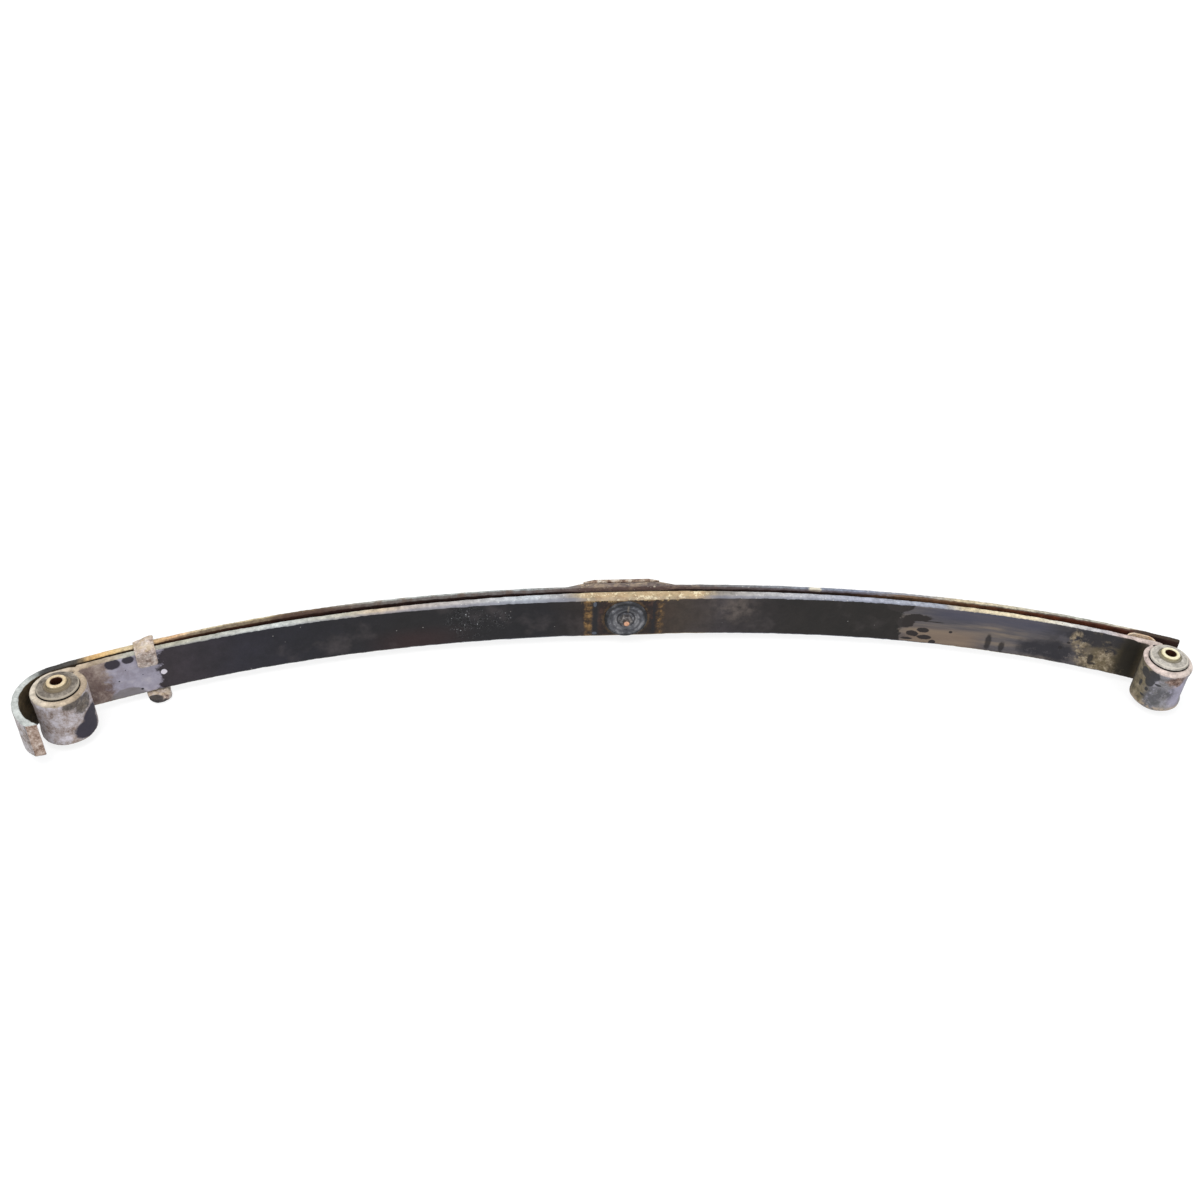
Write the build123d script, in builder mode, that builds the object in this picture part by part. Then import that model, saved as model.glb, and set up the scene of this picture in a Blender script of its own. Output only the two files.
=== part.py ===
from build123d import *
from collections import namedtuple
from math import acos, cos, degrees, pi, radians, sin
import os

# Two-leaf parabolic leaf spring, lying on its side: X along the spring, Z across the
# leaf width, +Y towards the axle. The origin is where the centre bolt leaves the axle seat.
# All sizes are in millimetres.

# Leaves
LEAF_WIDTH = 70.0
MAIN_THICK = 19.0
LEFT_MAIN_TIP = 9.5
RIGHT_MAIN_TIP = 8.2
SECOND_THICK = 11.0
LEFT_SECOND_TIP = 9.5
RIGHT_SECOND_TIP = 7.5
EDGE_SHARE = 0.3  # edge rounding of the rolled bar, as a share of its thickness

# Each half of the main leaf, from the centre bolt to the foot of its eye
LEFT_REACH = 735.5
LEFT_CAMBER = 124.5
LEFT_SHAPE = 0.826  # share of the camber that follows the square of the distance
RIGHT_REACH = 734.0
RIGHT_CAMBER = 134.5
RIGHT_SHAPE = 0.774

# Space between the leaves
LINER_THICK = 2.0
LEFT_SWELL = 5.0
LEFT_TIP_GAP = 1.5
RIGHT_SWELL = 0.5
RIGHT_TIP_GAP = 10.0

# Ends of the second leaf
SEAT_PAD_THICK = 18.5
SEAT_PAD_MARGIN = 2.0
SEAT_PAD_SHOULDER = 20.0
SEAT_SHIFT = -4.0  # pad, liner and spacer sit this far towards the left eye
WRAP_RADIUS = 48.0
WRAP_ARC = 133.0
WRAP_TRIM = 8.0  # taken off each corner of the wrap's end
SECOND_OVERRUN = 12.0  # how far the square end passes the foot of the right eye

# Eyes and bushes
EYE_BORE_RADIUS = 25.0
EYE_END_GAP = 3.0  # degrees between the rolled end and the leaf
SHELL_WALL = 2.2
SHELL_PROUD = 2.5  # each end of a bush stands this far out of the eye
RUBBER_RISE = 4.5
SLEEVE_RADIUS = 12.2
SLEEVE_BORE_RADIUS = 7.1
SLEEVE_PROUD = 8.0  # each end of a sleeve stands this far out of the shell
SLEEVE_CHAMFER = 1.0
SHELL_CHAMFER = 0.6
SHOULDER_WALL = 2.5  # flat ring of rubber round the sleeve
RUNNING_GAP = 0.05
PRESS_GAP = 0.02

# Centre clamp
BOLT_RADIUS = 5.0
BOLT_CLEARANCE = 0.5
DOWEL_RADIUS = 10.0
DOWEL_HEIGHT = 8.0
DOWEL_CHAMFER = 1.2
COLLAR_RADIUS = 12.0
COLLAR_GAP = 0.25  # between the bolt's collar and its hole in the spacer
TIP_CHAMFER = 1.0
TIP_BEYOND_NUT = 4.0
NUT_ACROSS_FLATS = 16.0
NUT_HEIGHT = 7.5
NUT_CHAMFER = 0.8
CUP_RADIUS = 30.3
CUP_HEIGHT = 5.0
CUP_FLOOR = 2.0
CUP_DISH_RADIUS = 22.0
CUP_RING_WIDTH = 5.0
CUP_RIM_HEIGHT = 2.6
CUP_RIM_BULGE = 0.6
CUP_FLOOR_RADIUS = 12.0
LINER_LENGTH = 108.0
LINER_INSET = 3.0  # from each edge of the leaf
SPACER_LENGTH = 108.0
SPACER_INSET = 1.5  # from each edge of the leaf
SPACER_THICK = 6.0
SPACER_BEVEL = 15.0
SPACER_EDGE = 1.5

# Rebound clip near the left eye
CLIP_SETBACK = 102.5  # from the foot of the left eye
CLIP_WIDTH = 27.0
CLIP_THICK = 5.0
CLIP_TAB = 23.0
CLIP_EAR = 16.0
CLIP_SLACK = 0.4
CLIP_BEND = 6.0
CLIP_INNER_BEND = 1.5
CLIP_EAR_FLAT = 1.0  # flat left between the two rounded corners of the ear
CLIP_TAB_CORNER = 5.0
CLIP_RIVET_RADIUS = 5.0
CLIP_HEAD_RADIUS = 8.5
CLIP_HEAD_HEIGHT = 4.0
CLIP_TAIL_RADIUS = 7.0
CLIP_TAIL_HEIGHT = 2.0

# Pads between the leaf tips
PAD_SLACK = 0.3
LEFT_PAD_LENGTH = 60.0
LEFT_PAD_INSET = 5.0  # from each edge of the leaf
RIGHT_PAD_SETBACK = 33.0  # from the foot of the right eye
RIGHT_PAD_INSET = 2.0  # from each edge of the leaf
RIGHT_PAD_THICK = 2.2
RIGHT_PAD_CROWN = 13.0
RIGHT_PAD_FALL = 68.0  # degrees turned by the strip between its crown and each foot
PAD_RIVET_RADIUS = 4.0
PAD_HEAD_RADIUS = 7.0
PAD_HEAD_HEIGHT = 3.5
PAD_TAIL_RADIUS = 6.0
PAD_TAIL_HEIGHT = 2.0
RIVET_GAP = 0.05
RIVET_SEAT_GAP = 0.3  # under a flat rivet face on a tapering leaf

# The stack through the centre, from the axle seat at y = 0 to the concave face
SECOND_OUTER_Y = -SPACER_THICK
SECOND_INNER_Y = SECOND_OUTER_Y - SEAT_PAD_THICK
MAIN_OUTER_Y = SECOND_INNER_Y - LINER_THICK
FACE_Y = MAIN_OUTER_Y - MAIN_THICK
NUT_SEAT_Y = FACE_Y - CUP_FLOOR
NUT_OUTER_Y = NUT_SEAT_Y - NUT_HEIGHT
BOLT_TIP_Y = NUT_OUTER_Y - TIP_BEYOND_NUT
BOLT_HOLE_RADIUS = BOLT_RADIUS + BOLT_CLEARANCE
SHELL_LENGTH = LEAF_WIDTH + 2 * SHELL_PROUD
SLEEVE_LENGTH = SHELL_LENGTH + 2 * SLEEVE_PROUD
LINER_WIDTH = LEAF_WIDTH - 2 * LINER_INSET
SPACER_WIDTH = LEAF_WIDTH - 2 * SPACER_INSET
LEFT_PAD_WIDTH = LEAF_WIDTH - 2 * LEFT_PAD_INSET
RIGHT_PAD_WIDTH = LEAF_WIDTH - 2 * RIGHT_PAD_INSET
CLIP_REACH = LEFT_REACH - CLIP_SETBACK
RIGHT_PAD_REACH = RIGHT_REACH - RIGHT_PAD_SETBACK
PAD_HALF = SPACER_LENGTH / 2 + SEAT_PAD_MARGIN
SEAT_HALF = PAD_HALF + abs(SEAT_SHIFT)  # half of the flat clamped length

Half = namedtuple("Half", "sign reach camber shape swell tip_gap main_tip second_tip")
LEFT = Half(
    -1,
    LEFT_REACH,
    LEFT_CAMBER,
    LEFT_SHAPE,
    LEFT_SWELL,
    LEFT_TIP_GAP,
    LEFT_MAIN_TIP,
    LEFT_SECOND_TIP,
)
RIGHT = Half(
    1,
    RIGHT_REACH,
    RIGHT_CAMBER,
    RIGHT_SHAPE,
    RIGHT_SWELL,
    RIGHT_TIP_GAP,
    RIGHT_MAIN_TIP,
    RIGHT_SECOND_TIP,
)

os.makedirs("parts", exist_ok=True)


def along(half, u):
    """Share of the free arm that lies inside the distance u from the centre bolt."""
    return max(u - SEAT_HALF, 0.0) / (half.reach - SEAT_HALF)


def face_plane(half, u, offset=0.0):
    """Plane across the leaf at distance u: local x is the convex normal, local y is +Z.

    Its origin lies `offset` outside the concave face of the main leaf.
    """
    t = along(half, u)
    drop = half.camber * (half.shape * t**2 + (1 - half.shape) * t**4)
    slope = half.camber * (2 * half.shape * t + 4 * (1 - half.shape) * t**3)
    slope /= half.reach - SEAT_HALF
    normal = Vector(half.sign * slope, 1, 0).normalized()
    tangent = Vector(normal.Y, -normal.X, 0)
    foot = Vector(half.sign * u, FACE_Y - drop, 0)
    return Plane(origin=foot + normal * offset, x_dir=normal, z_dir=tangent)


def main_thickness(half, u):
    """Parabolic taper of the main leaf."""
    return half.main_tip + (MAIN_THICK - half.main_tip) * max(1 - along(half, u), 0) ** 2


def second_thickness(half, u):
    """Taper of the second leaf outside its seat pad."""
    return half.second_tip + (SECOND_THICK - half.second_tip) * max(1 - along(half, u), 0)


def leaf_gap(half, u):
    """Distance between the facing sides of the two leaves."""
    t = along(half, u)
    return LINER_THICK + half.swell * sin(pi * min(t, 1)) + (half.tip_gap - LINER_THICK) * t


def second_offset(half, u):
    """Offset of the second leaf's inner face from the concave face of the main leaf."""
    return main_thickness(half, u) + leaf_gap(half, u)


def bar_section(half, u, offset, thick):
    """Section of rolled spring bar with rounded edges, its inner face at `offset`."""
    with BuildSketch(face_plane(half, u, offset + thick / 2)) as section:
        RectangleRounded(thick, LEAF_WIDTH, EDGE_SHARE * thick)
    return section.sketch


def stack_offset(half, u):
    """Offset of the second leaf's convex face from the concave face of the main leaf."""
    return second_offset(half, u) + second_thickness(half, u)


def main_section(half, u):
    return bar_section(half, u, 0, main_thickness(half, u))


def second_section(half, u):
    return bar_section(half, u, second_offset(half, u), second_thickness(half, u))


def pad_section(half, u):
    return bar_section(half, u, second_offset(half, u), SEAT_PAD_THICK)


def stations(start, end, count=7):
    """Distances from `start` to `end`, evenly spaced."""
    return [start + (end - start) * step / (count - 1) for step in range(count)]


def eye_centre(half):
    """Centre of the rolled eye: one bore radius inside the concave face."""
    return face_plane(half, half.reach, -EYE_BORE_RADIUS).origin


def roll_axis(half, centre):
    """Axis about which a leaf end is rolled, from the convex side round the tip."""
    return Axis(centre, (0, 0, -half.sign))


def bolt_hole_sketch():
    """Clearance hole of the centre bolt, drawn on the axle seat plane."""
    with BuildSketch(Plane.XZ) as hole:
        Circle(BOLT_HOLE_RADIUS)
    return hole.sketch


def finish(piece, name):
    """Labels a finished sub-part and writes its STEP file."""
    piece.part.label = name
    export_step(piece.part, f"parts/{name}.step")


# Main leaf: flat seat, two parabolic arms, and an eye rolled towards the concave side
def eye_wrap(half):
    """Angle rolled by an eye before its end meets the concave face again."""
    outer_radius = EYE_BORE_RADIUS + half.main_tip
    return 360 - degrees(acos(EYE_BORE_RADIUS / outer_radius)) - EYE_END_GAP


with BuildPart() as main_leaf:
    extrude(main_section(RIGHT, 0), amount=SEAT_HALF, both=True)
    for half in (LEFT, RIGHT):
        loft([main_section(half, u) for u in stations(SEAT_HALF, half.reach)])
        revolve(
            main_section(half, half.reach),
            axis=roll_axis(half, eye_centre(half)),
            revolution_arc=eye_wrap(half),
        )
    extrude(bolt_hole_sketch(), amount=-FACE_Y, mode=Mode.SUBTRACT)
finish(main_leaf, "main_leaf")


# Second leaf: thick seat pad, two arms, a loose wrap round the left eye, a square right end
WRAP_CENTRE = face_plane(LEFT, LEFT_REACH, second_offset(LEFT, LEFT_REACH) - WRAP_RADIUS).origin
CLIP_PLANE = face_plane(LEFT, CLIP_REACH)
CLIP_INNER = second_offset(LEFT, CLIP_REACH)
CLIP_OUTER = max(stack_offset(LEFT, CLIP_REACH + step * CLIP_WIDTH / 2) for step in (-1, 0, 1))
RIGHT_PAD_INNER = second_offset(RIGHT, RIGHT_PAD_REACH)
RIGHT_PAD_OUTER = stack_offset(RIGHT, RIGHT_PAD_REACH)


def rivet_plane(half, u, offset):
    """Plane on which a rivet's circles are drawn: its normal is the leaf's convex normal."""
    across = face_plane(half, u, offset)
    return Plane(origin=across.origin, x_dir=(0, 0, 1), z_dir=across.x_dir)


with BuildPart() as second_leaf:
    for half, end in ((LEFT, LEFT_REACH), (RIGHT, RIGHT_REACH + SECOND_OVERRUN)):
        pad_end = PAD_HALF + half.sign * SEAT_SHIFT
        shoulder_end = pad_end + SEAT_PAD_SHOULDER
        extrude(pad_section(RIGHT, 0), amount=half.sign * pad_end)
        loft([pad_section(half, pad_end), second_section(half, shoulder_end)], ruled=True)
        loft([second_section(half, u) for u in stations(shoulder_end, end)])
    revolve(
        second_section(LEFT, LEFT_REACH),
        axis=roll_axis(LEFT, WRAP_CENTRE),
        revolution_arc=WRAP_ARC,
    )
    with BuildSketch(Plane.YZ):
        with BuildLine():
            edge = LEAF_WIDTH / 2
            trim_start = (WRAP_CENTRE.Y, edge)
            trim_end = (WRAP_CENTRE.Y - WRAP_RADIUS, edge - WRAP_TRIM)
            beyond_y = WRAP_CENTRE.Y - 2 * WRAP_RADIUS
            Polyline(
                trim_start,
                trim_end,
                (beyond_y, edge - WRAP_TRIM),
                (beyond_y, 2 * edge),
                close=True,
            )
        make_face()
        mirror(about=Plane.XZ)
    extrude(amount=-LEFT_REACH - WRAP_RADIUS - edge, mode=Mode.SUBTRACT)
    extrude(bolt_hole_sketch(), amount=-SECOND_INNER_Y, mode=Mode.SUBTRACT)
    with BuildSketch(rivet_plane(LEFT, CLIP_REACH, CLIP_INNER - LEAF_WIDTH / 2)):
        Circle(CLIP_RIVET_RADIUS + RIVET_GAP)
    extrude(amount=LEAF_WIDTH, mode=Mode.SUBTRACT)
    with BuildSketch(rivet_plane(RIGHT, RIGHT_PAD_REACH, RIGHT_PAD_INNER - LEAF_WIDTH / 2)):
        Circle(PAD_RIVET_RADIUS + RIVET_GAP)
    extrude(amount=LEAF_WIDTH, mode=Mode.SUBTRACT)
finish(second_leaf, "second_leaf")


# Liner that keeps the two leaves apart at the seat
with BuildPart() as interleaf_liner:
    with BuildSketch(Plane.XZ.offset(-SECOND_INNER_Y)):
        with Locations((SEAT_SHIFT, 0)):
            Rectangle(LINER_LENGTH, LINER_WIDTH)
        Circle(BOLT_HOLE_RADIUS, mode=Mode.SUBTRACT)
    extrude(amount=LINER_THICK)
finish(interleaf_liner, "interleaf_liner")


# Axle spacer: flat plate on the convex side with bevelled ends
with BuildPart() as axle_spacer:
    with BuildSketch(Plane.XY.offset(-SPACER_WIDTH / 2)):
        with BuildLine():
            low_x = SEAT_SHIFT - SPACER_LENGTH / 2
            high_x = SEAT_SHIFT + SPACER_LENGTH / 2
            Polyline(
                (low_x, -SPACER_THICK),
                (low_x, -SPACER_THICK + SPACER_EDGE),
                (low_x + SPACER_BEVEL, 0),
                (high_x - SPACER_BEVEL, 0),
                (high_x, -SPACER_THICK + SPACER_EDGE),
                (high_x, -SPACER_THICK),
                close=True,
            )
        make_face()
    extrude(amount=SPACER_WIDTH)
    with BuildSketch(Plane.XZ):
        Circle(COLLAR_RADIUS + COLLAR_GAP)
    extrude(amount=SPACER_THICK, mode=Mode.SUBTRACT)
finish(axle_spacer, "axle_spacer")


# Centre bolt: a dowel above the axle seat, a collar inside the spacer, and a shank
with BuildPart() as centre_bolt:
    with BuildSketch(Plane.XZ):
        Circle(DOWEL_RADIUS)
    extrude(amount=-DOWEL_HEIGHT)
    chamfer(centre_bolt.edges().sort_by(Axis.Y)[-1], DOWEL_CHAMFER)
    with BuildSketch(Plane.XZ):
        Circle(COLLAR_RADIUS)
    extrude(amount=SPACER_THICK)
    with BuildSketch(Plane.XZ):
        Circle(BOLT_RADIUS)
    extrude(amount=-BOLT_TIP_Y)
    chamfer(centre_bolt.edges().sort_by(Axis.Y)[0], TIP_CHAMFER)
finish(centre_bolt, "centre_bolt")


# Cup washer: dished disc under the nut, turned about the bolt axis
with BuildPart() as cup_washer:
    with BuildSketch(Plane.XY):
        with BuildLine():
            ring_outer = CUP_DISH_RADIUS + CUP_RING_WIDTH
            bulge_x = (ring_outer + CUP_RADIUS) / 2 + CUP_RIM_BULGE
            bulge_y = FACE_Y - (CUP_HEIGHT + CUP_RIM_HEIGHT) / 2 - CUP_RIM_BULGE
            Polyline(
                (CUP_RADIUS, FACE_Y - CUP_RIM_HEIGHT),
                (CUP_RADIUS, FACE_Y),
                (BOLT_HOLE_RADIUS, FACE_Y),
                (BOLT_HOLE_RADIUS, FACE_Y - CUP_FLOOR),
                (CUP_FLOOR_RADIUS, FACE_Y - CUP_FLOOR),
                (CUP_DISH_RADIUS, FACE_Y - CUP_HEIGHT),
                (ring_outer, FACE_Y - CUP_HEIGHT),
            )
            ThreePointArc(
                (ring_outer, FACE_Y - CUP_HEIGHT),
                (bulge_x, bulge_y),
                (CUP_RADIUS, FACE_Y - CUP_RIM_HEIGHT),
            )
        make_face()
    revolve(axis=Axis.Y)
finish(cup_washer, "cup_washer")


# Centre nut: a hexagon with chamfered corners on its outer face
with BuildPart() as centre_nut:
    with BuildSketch(Plane.XZ.offset(-NUT_SEAT_Y)):
        RegularPolygon(NUT_ACROSS_FLATS / 2, 6, major_radius=False)
        Circle(BOLT_RADIUS + RUNNING_GAP, mode=Mode.SUBTRACT)
    extrude(amount=NUT_HEIGHT)
    chamfer(centre_nut.faces().sort_by(Axis.Y)[0].outer_wire().edges(), NUT_CHAMFER)
finish(centre_nut, "centre_nut")


# Rebound clip: one bent strap, folded over the concave face at the top, an open ear below
CLIP_EDGE = LEAF_WIDTH / 2 + CLIP_SLACK
CLIP_OUTSIDE = CLIP_EDGE + CLIP_THICK
CLIP_BACK = CLIP_OUTER + PAD_SLACK
CLIP_FRONT = -CLIP_SLACK
CLIP_HALF = CLIP_WIDTH / 2
EAR_ROUND = (CLIP_WIDTH - CLIP_EAR_FLAT) / 2

with BuildPart() as rebound_clip:
    with BuildSketch(CLIP_PLANE) as strap:
        with BuildLine():
            Polyline(
                (-CLIP_EAR, -CLIP_OUTSIDE),
                (CLIP_BACK + CLIP_THICK, -CLIP_OUTSIDE),
                (CLIP_BACK + CLIP_THICK, CLIP_OUTSIDE),
                (CLIP_FRONT - CLIP_THICK, CLIP_OUTSIDE),
                (CLIP_FRONT - CLIP_THICK, LEAF_WIDTH / 2 - CLIP_TAB),
                (CLIP_FRONT, LEAF_WIDTH / 2 - CLIP_TAB),
                (CLIP_FRONT, CLIP_EDGE),
                (CLIP_BACK, CLIP_EDGE),
                (CLIP_BACK, -CLIP_EDGE),
                (-CLIP_EAR, -CLIP_EDGE),
                close=True,
            )
        make_face()
    extrude(amount=CLIP_HALF, both=True)
    along_strap = rebound_clip.edges().filter_by(lambda e: abs(e.length - CLIP_WIDTH) < 0.01)

    def bend_line(x, z):
        """The strap's edge along the spring that passes through local (x, z)."""
        corner = CLIP_PLANE.from_local_coords((x, z, 0))
        return along_strap.sort_by_distance(corner)[0]

    outer_bends = [
        bend_line(CLIP_BACK + CLIP_THICK, -CLIP_OUTSIDE),
        bend_line(CLIP_BACK + CLIP_THICK, CLIP_OUTSIDE),
        bend_line(CLIP_FRONT - CLIP_THICK, CLIP_OUTSIDE),
    ]
    inner_bends = [
        bend_line(CLIP_BACK, -CLIP_EDGE),
        bend_line(CLIP_BACK, CLIP_EDGE),
        bend_line(CLIP_FRONT, CLIP_EDGE),
    ]
    fillet(outer_bends, CLIP_BEND)
    fillet(inner_bends, CLIP_INNER_BEND)
    ear_face = rebound_clip.faces().sort_by_distance(
        CLIP_PLANE.from_local_coords((-CLIP_EAR, -CLIP_EDGE - CLIP_THICK / 2, 0))
    )[0]
    fillet(ear_face.edges().filter_by(Axis.Z), EAR_ROUND)
    tab_face = rebound_clip.faces().sort_by_distance(
        CLIP_PLANE.from_local_coords((CLIP_FRONT - CLIP_THICK / 2, LEAF_WIDTH / 2 - CLIP_TAB, 0))
    )[0]
    tab_corners = tab_face.edges().filter_by(lambda e: abs(e.length - CLIP_THICK) < 0.01)
    fillet(tab_corners, CLIP_TAB_CORNER)
    with BuildSketch(rivet_plane(LEFT, CLIP_REACH, CLIP_BACK - 1)):
        Circle(CLIP_RIVET_RADIUS + RIVET_GAP)
    extrude(amount=CLIP_THICK + 2, mode=Mode.SUBTRACT)
finish(rebound_clip, "rebound_clip")


def rivet(half, u, inner, outer, shank_radius, head, tail):
    """Rivet from the offset `inner` to `outer`, with a domed head outside and a flat tail."""
    head_radius, head_height = head
    tail_radius, tail_height = tail
    with BuildPart() as piece:
        with BuildSketch(rivet_plane(half, u, inner - tail_height)):
            Circle(tail_radius)
        extrude(amount=tail_height)
        with BuildSketch(rivet_plane(half, u, inner)):
            Circle(shank_radius)
        extrude(amount=outer - inner)
        with BuildSketch(rivet_plane(half, u, outer)):
            Circle(head_radius)
        extrude(amount=head_height)
        outer_face = rivet_plane(half, u, outer + head_height)
        circles = piece.edges().filter_by(GeomType.CIRCLE)
        rim = circles.sort_by_distance(outer_face.from_local_coords((head_radius, 0, 0)))[0]
        fillet(rim, head_height * 0.8)
    return piece


# Rivet that holds the clip on the second leaf
clip_rivet = rivet(
    LEFT,
    CLIP_REACH,
    CLIP_INNER - RIVET_SEAT_GAP,
    CLIP_BACK + CLIP_THICK + RIVET_GAP,
    CLIP_RIVET_RADIUS,
    (CLIP_HEAD_RADIUS, CLIP_HEAD_HEIGHT),
    (CLIP_TAIL_RADIUS, CLIP_TAIL_HEIGHT),
)
finish(clip_rivet, "clip_rivet")


# Left tip pad: curved wear pad between the leaves under the clip, held by the rivet tail
def left_pad_section(u):
    thick = leaf_gap(LEFT, u) - 2 * PAD_SLACK
    with BuildSketch(face_plane(LEFT, u, main_thickness(LEFT, u) + PAD_SLACK + thick / 2)) as section:
        Rectangle(thick, LEFT_PAD_WIDTH)
    return section.sketch


with BuildPart() as left_tip_pad:
    pad_start = CLIP_REACH - LEFT_PAD_LENGTH / 2
    pad_end = CLIP_REACH + LEFT_PAD_LENGTH / 2
    loft([left_pad_section(u) for u in stations(pad_start, pad_end, 4)])
    with BuildSketch(rivet_plane(LEFT, CLIP_REACH, 0)):
        Circle(CLIP_TAIL_RADIUS + RIVET_GAP)
    extrude(amount=LEAF_WIDTH, mode=Mode.SUBTRACT)
finish(left_tip_pad, "left_tip_pad")


# Right tip pad: a bowed strip between the leaves, its crown riveted to the second leaf
with BuildPart() as right_tip_pad:
    pad_plane = face_plane(RIGHT, RIGHT_PAD_REACH, main_thickness(RIGHT, RIGHT_PAD_REACH))
    side_plane = Plane(origin=pad_plane.origin, x_dir=pad_plane.z_dir, z_dir=(0, 0, 1))
    with BuildSketch(side_plane.offset(-RIGHT_PAD_WIDTH / 2)):
        with BuildLine():
            crown_x = RIGHT_PAD_CROWN / 2
            low = PAD_SLACK + RIGHT_PAD_THICK / 2 * cos(radians(RIGHT_PAD_FALL))
            high = leaf_gap(RIGHT, RIGHT_PAD_REACH) - PAD_SLACK - RIGHT_PAD_THICK / 2
            bow_radius = (high - low) / (1 - cos(radians(RIGHT_PAD_FALL)))
            foot_x = crown_x + bow_radius * sin(radians(RIGHT_PAD_FALL))
            Line((-crown_x, high), (crown_x, high))
            fall = TangentArc((crown_x, high), (foot_x, low), tangent=(1, 0))
            mirror(fall, about=Plane.YZ)
        trace(line_width=RIGHT_PAD_THICK)
    extrude(amount=RIGHT_PAD_WIDTH)
    with BuildSketch(rivet_plane(RIGHT, RIGHT_PAD_REACH, 0)):
        Circle(PAD_RIVET_RADIUS + RIVET_GAP)
    extrude(amount=LEAF_WIDTH, mode=Mode.SUBTRACT)
finish(right_tip_pad, "right_tip_pad")


# Rivet that holds the right tip pad on the second leaf
right_pad_rivet = rivet(
    RIGHT,
    RIGHT_PAD_REACH,
    RIGHT_PAD_INNER - PAD_SLACK - RIGHT_PAD_THICK - RIVET_GAP,
    RIGHT_PAD_OUTER + RIVET_SEAT_GAP,
    PAD_RIVET_RADIUS,
    (PAD_HEAD_RADIUS, PAD_HEAD_HEIGHT),
    (PAD_TAIL_RADIUS, PAD_TAIL_HEIGHT),
)
finish(right_pad_rivet, "right_pad_rivet")


# Bushes: a steel shell pressed into each eye, bonded rubber, and an inner steel sleeve
SHELL_RADIUS = EYE_BORE_RADIUS - PRESS_GAP
SHELL_BORE_RADIUS = SHELL_RADIUS - SHELL_WALL
RUBBER_OUTER_RADIUS = SHELL_BORE_RADIUS - PRESS_GAP
RUBBER_BORE_RADIUS = SLEEVE_RADIUS + RUNNING_GAP
SHOULDER_RADIUS = SLEEVE_RADIUS + SHOULDER_WALL

for side, half in (("left", LEFT), ("right", RIGHT)):
    centre = eye_centre(half)
    base = Plane(origin=centre, z_dir=(0, 0, 1))
    profile_plane = Plane(origin=centre, x_dir=(1, 0, 0), z_dir=(0, -1, 0))

    with BuildPart() as bush_shell:
        with BuildSketch(base.offset(-SHELL_LENGTH / 2)):
            Circle(SHELL_RADIUS)
            Circle(SHELL_BORE_RADIUS, mode=Mode.SUBTRACT)
        extrude(amount=SHELL_LENGTH)
        rims = bush_shell.edges().filter_by(GeomType.CIRCLE).sort_by(SortBy.RADIUS)
        chamfer(rims[-2:], SHELL_CHAMFER)
    finish(bush_shell, f"{side}_bush_shell")

    with BuildPart() as bush_rubber:
        with BuildSketch(profile_plane):
            with BuildLine():
                end_z = SHELL_LENGTH / 2
                Polyline(
                    (RUBBER_BORE_RADIUS, -end_z - RUBBER_RISE),
                    (SHOULDER_RADIUS, -end_z - RUBBER_RISE),
                    (RUBBER_OUTER_RADIUS, -end_z),
                    (RUBBER_OUTER_RADIUS, end_z),
                    (SHOULDER_RADIUS, end_z + RUBBER_RISE),
                    (RUBBER_BORE_RADIUS, end_z + RUBBER_RISE),
                    close=True,
                )
            make_face()
        revolve(axis=Axis(centre, (0, 0, 1)))
    finish(bush_rubber, f"{side}_bush_rubber")

    with BuildPart() as bush_sleeve:
        with BuildSketch(base.offset(-SLEEVE_LENGTH / 2)):
            Circle(SLEEVE_RADIUS)
            Circle(SLEEVE_BORE_RADIUS, mode=Mode.SUBTRACT)
        extrude(amount=SLEEVE_LENGTH)
        chamfer(bush_sleeve.edges().filter_by(GeomType.CIRCLE), SLEEVE_CHAMFER)
    finish(bush_sleeve, f"{side}_bush_sleeve")
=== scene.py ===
import math

import bpy
import numpy as np
from mathutils import Matrix, Vector, noise


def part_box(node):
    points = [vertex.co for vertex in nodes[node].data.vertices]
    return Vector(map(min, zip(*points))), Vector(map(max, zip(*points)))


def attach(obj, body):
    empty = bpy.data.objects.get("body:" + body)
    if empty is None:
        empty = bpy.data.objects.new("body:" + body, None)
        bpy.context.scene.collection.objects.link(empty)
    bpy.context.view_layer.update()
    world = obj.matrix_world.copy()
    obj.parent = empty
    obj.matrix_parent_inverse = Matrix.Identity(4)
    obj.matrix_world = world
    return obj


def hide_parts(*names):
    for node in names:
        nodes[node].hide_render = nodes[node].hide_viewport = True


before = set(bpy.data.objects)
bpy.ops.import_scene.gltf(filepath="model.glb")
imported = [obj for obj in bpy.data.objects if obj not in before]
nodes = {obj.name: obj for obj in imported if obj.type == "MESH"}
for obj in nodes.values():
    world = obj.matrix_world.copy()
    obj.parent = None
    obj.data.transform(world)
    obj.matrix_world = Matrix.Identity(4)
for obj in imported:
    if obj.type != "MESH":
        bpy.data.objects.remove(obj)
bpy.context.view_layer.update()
scene = bpy.context.scene
scene.view_settings.view_transform = "Standard"

# Places that the looks are set out from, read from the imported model
main_low, main_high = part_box("main_leaf")
clip_low, clip_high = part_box("rebound_clip")

SIDES = ("left", "right")
ARM_REACH = 0.68  # the leaves' middle lines are followed this far from the centre
THROUGH = 9  # half depth of a painted spot that reaches through the leaf
ABOUT_Y = (1.0, 0.0, 1.0)  # keeps X and Z, for distances from an axis along Y
ABOUT_Z = (1.0, 1.0, 0.0)
TOOL_MARKS = 4200.0  # radians of a turned surface's waves to a metre


def middle(node):
    low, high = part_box(node)
    return (low + high) / 2


def radius_of(node):
    low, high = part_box(node)
    return (high.x - low.x) / 2


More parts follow.
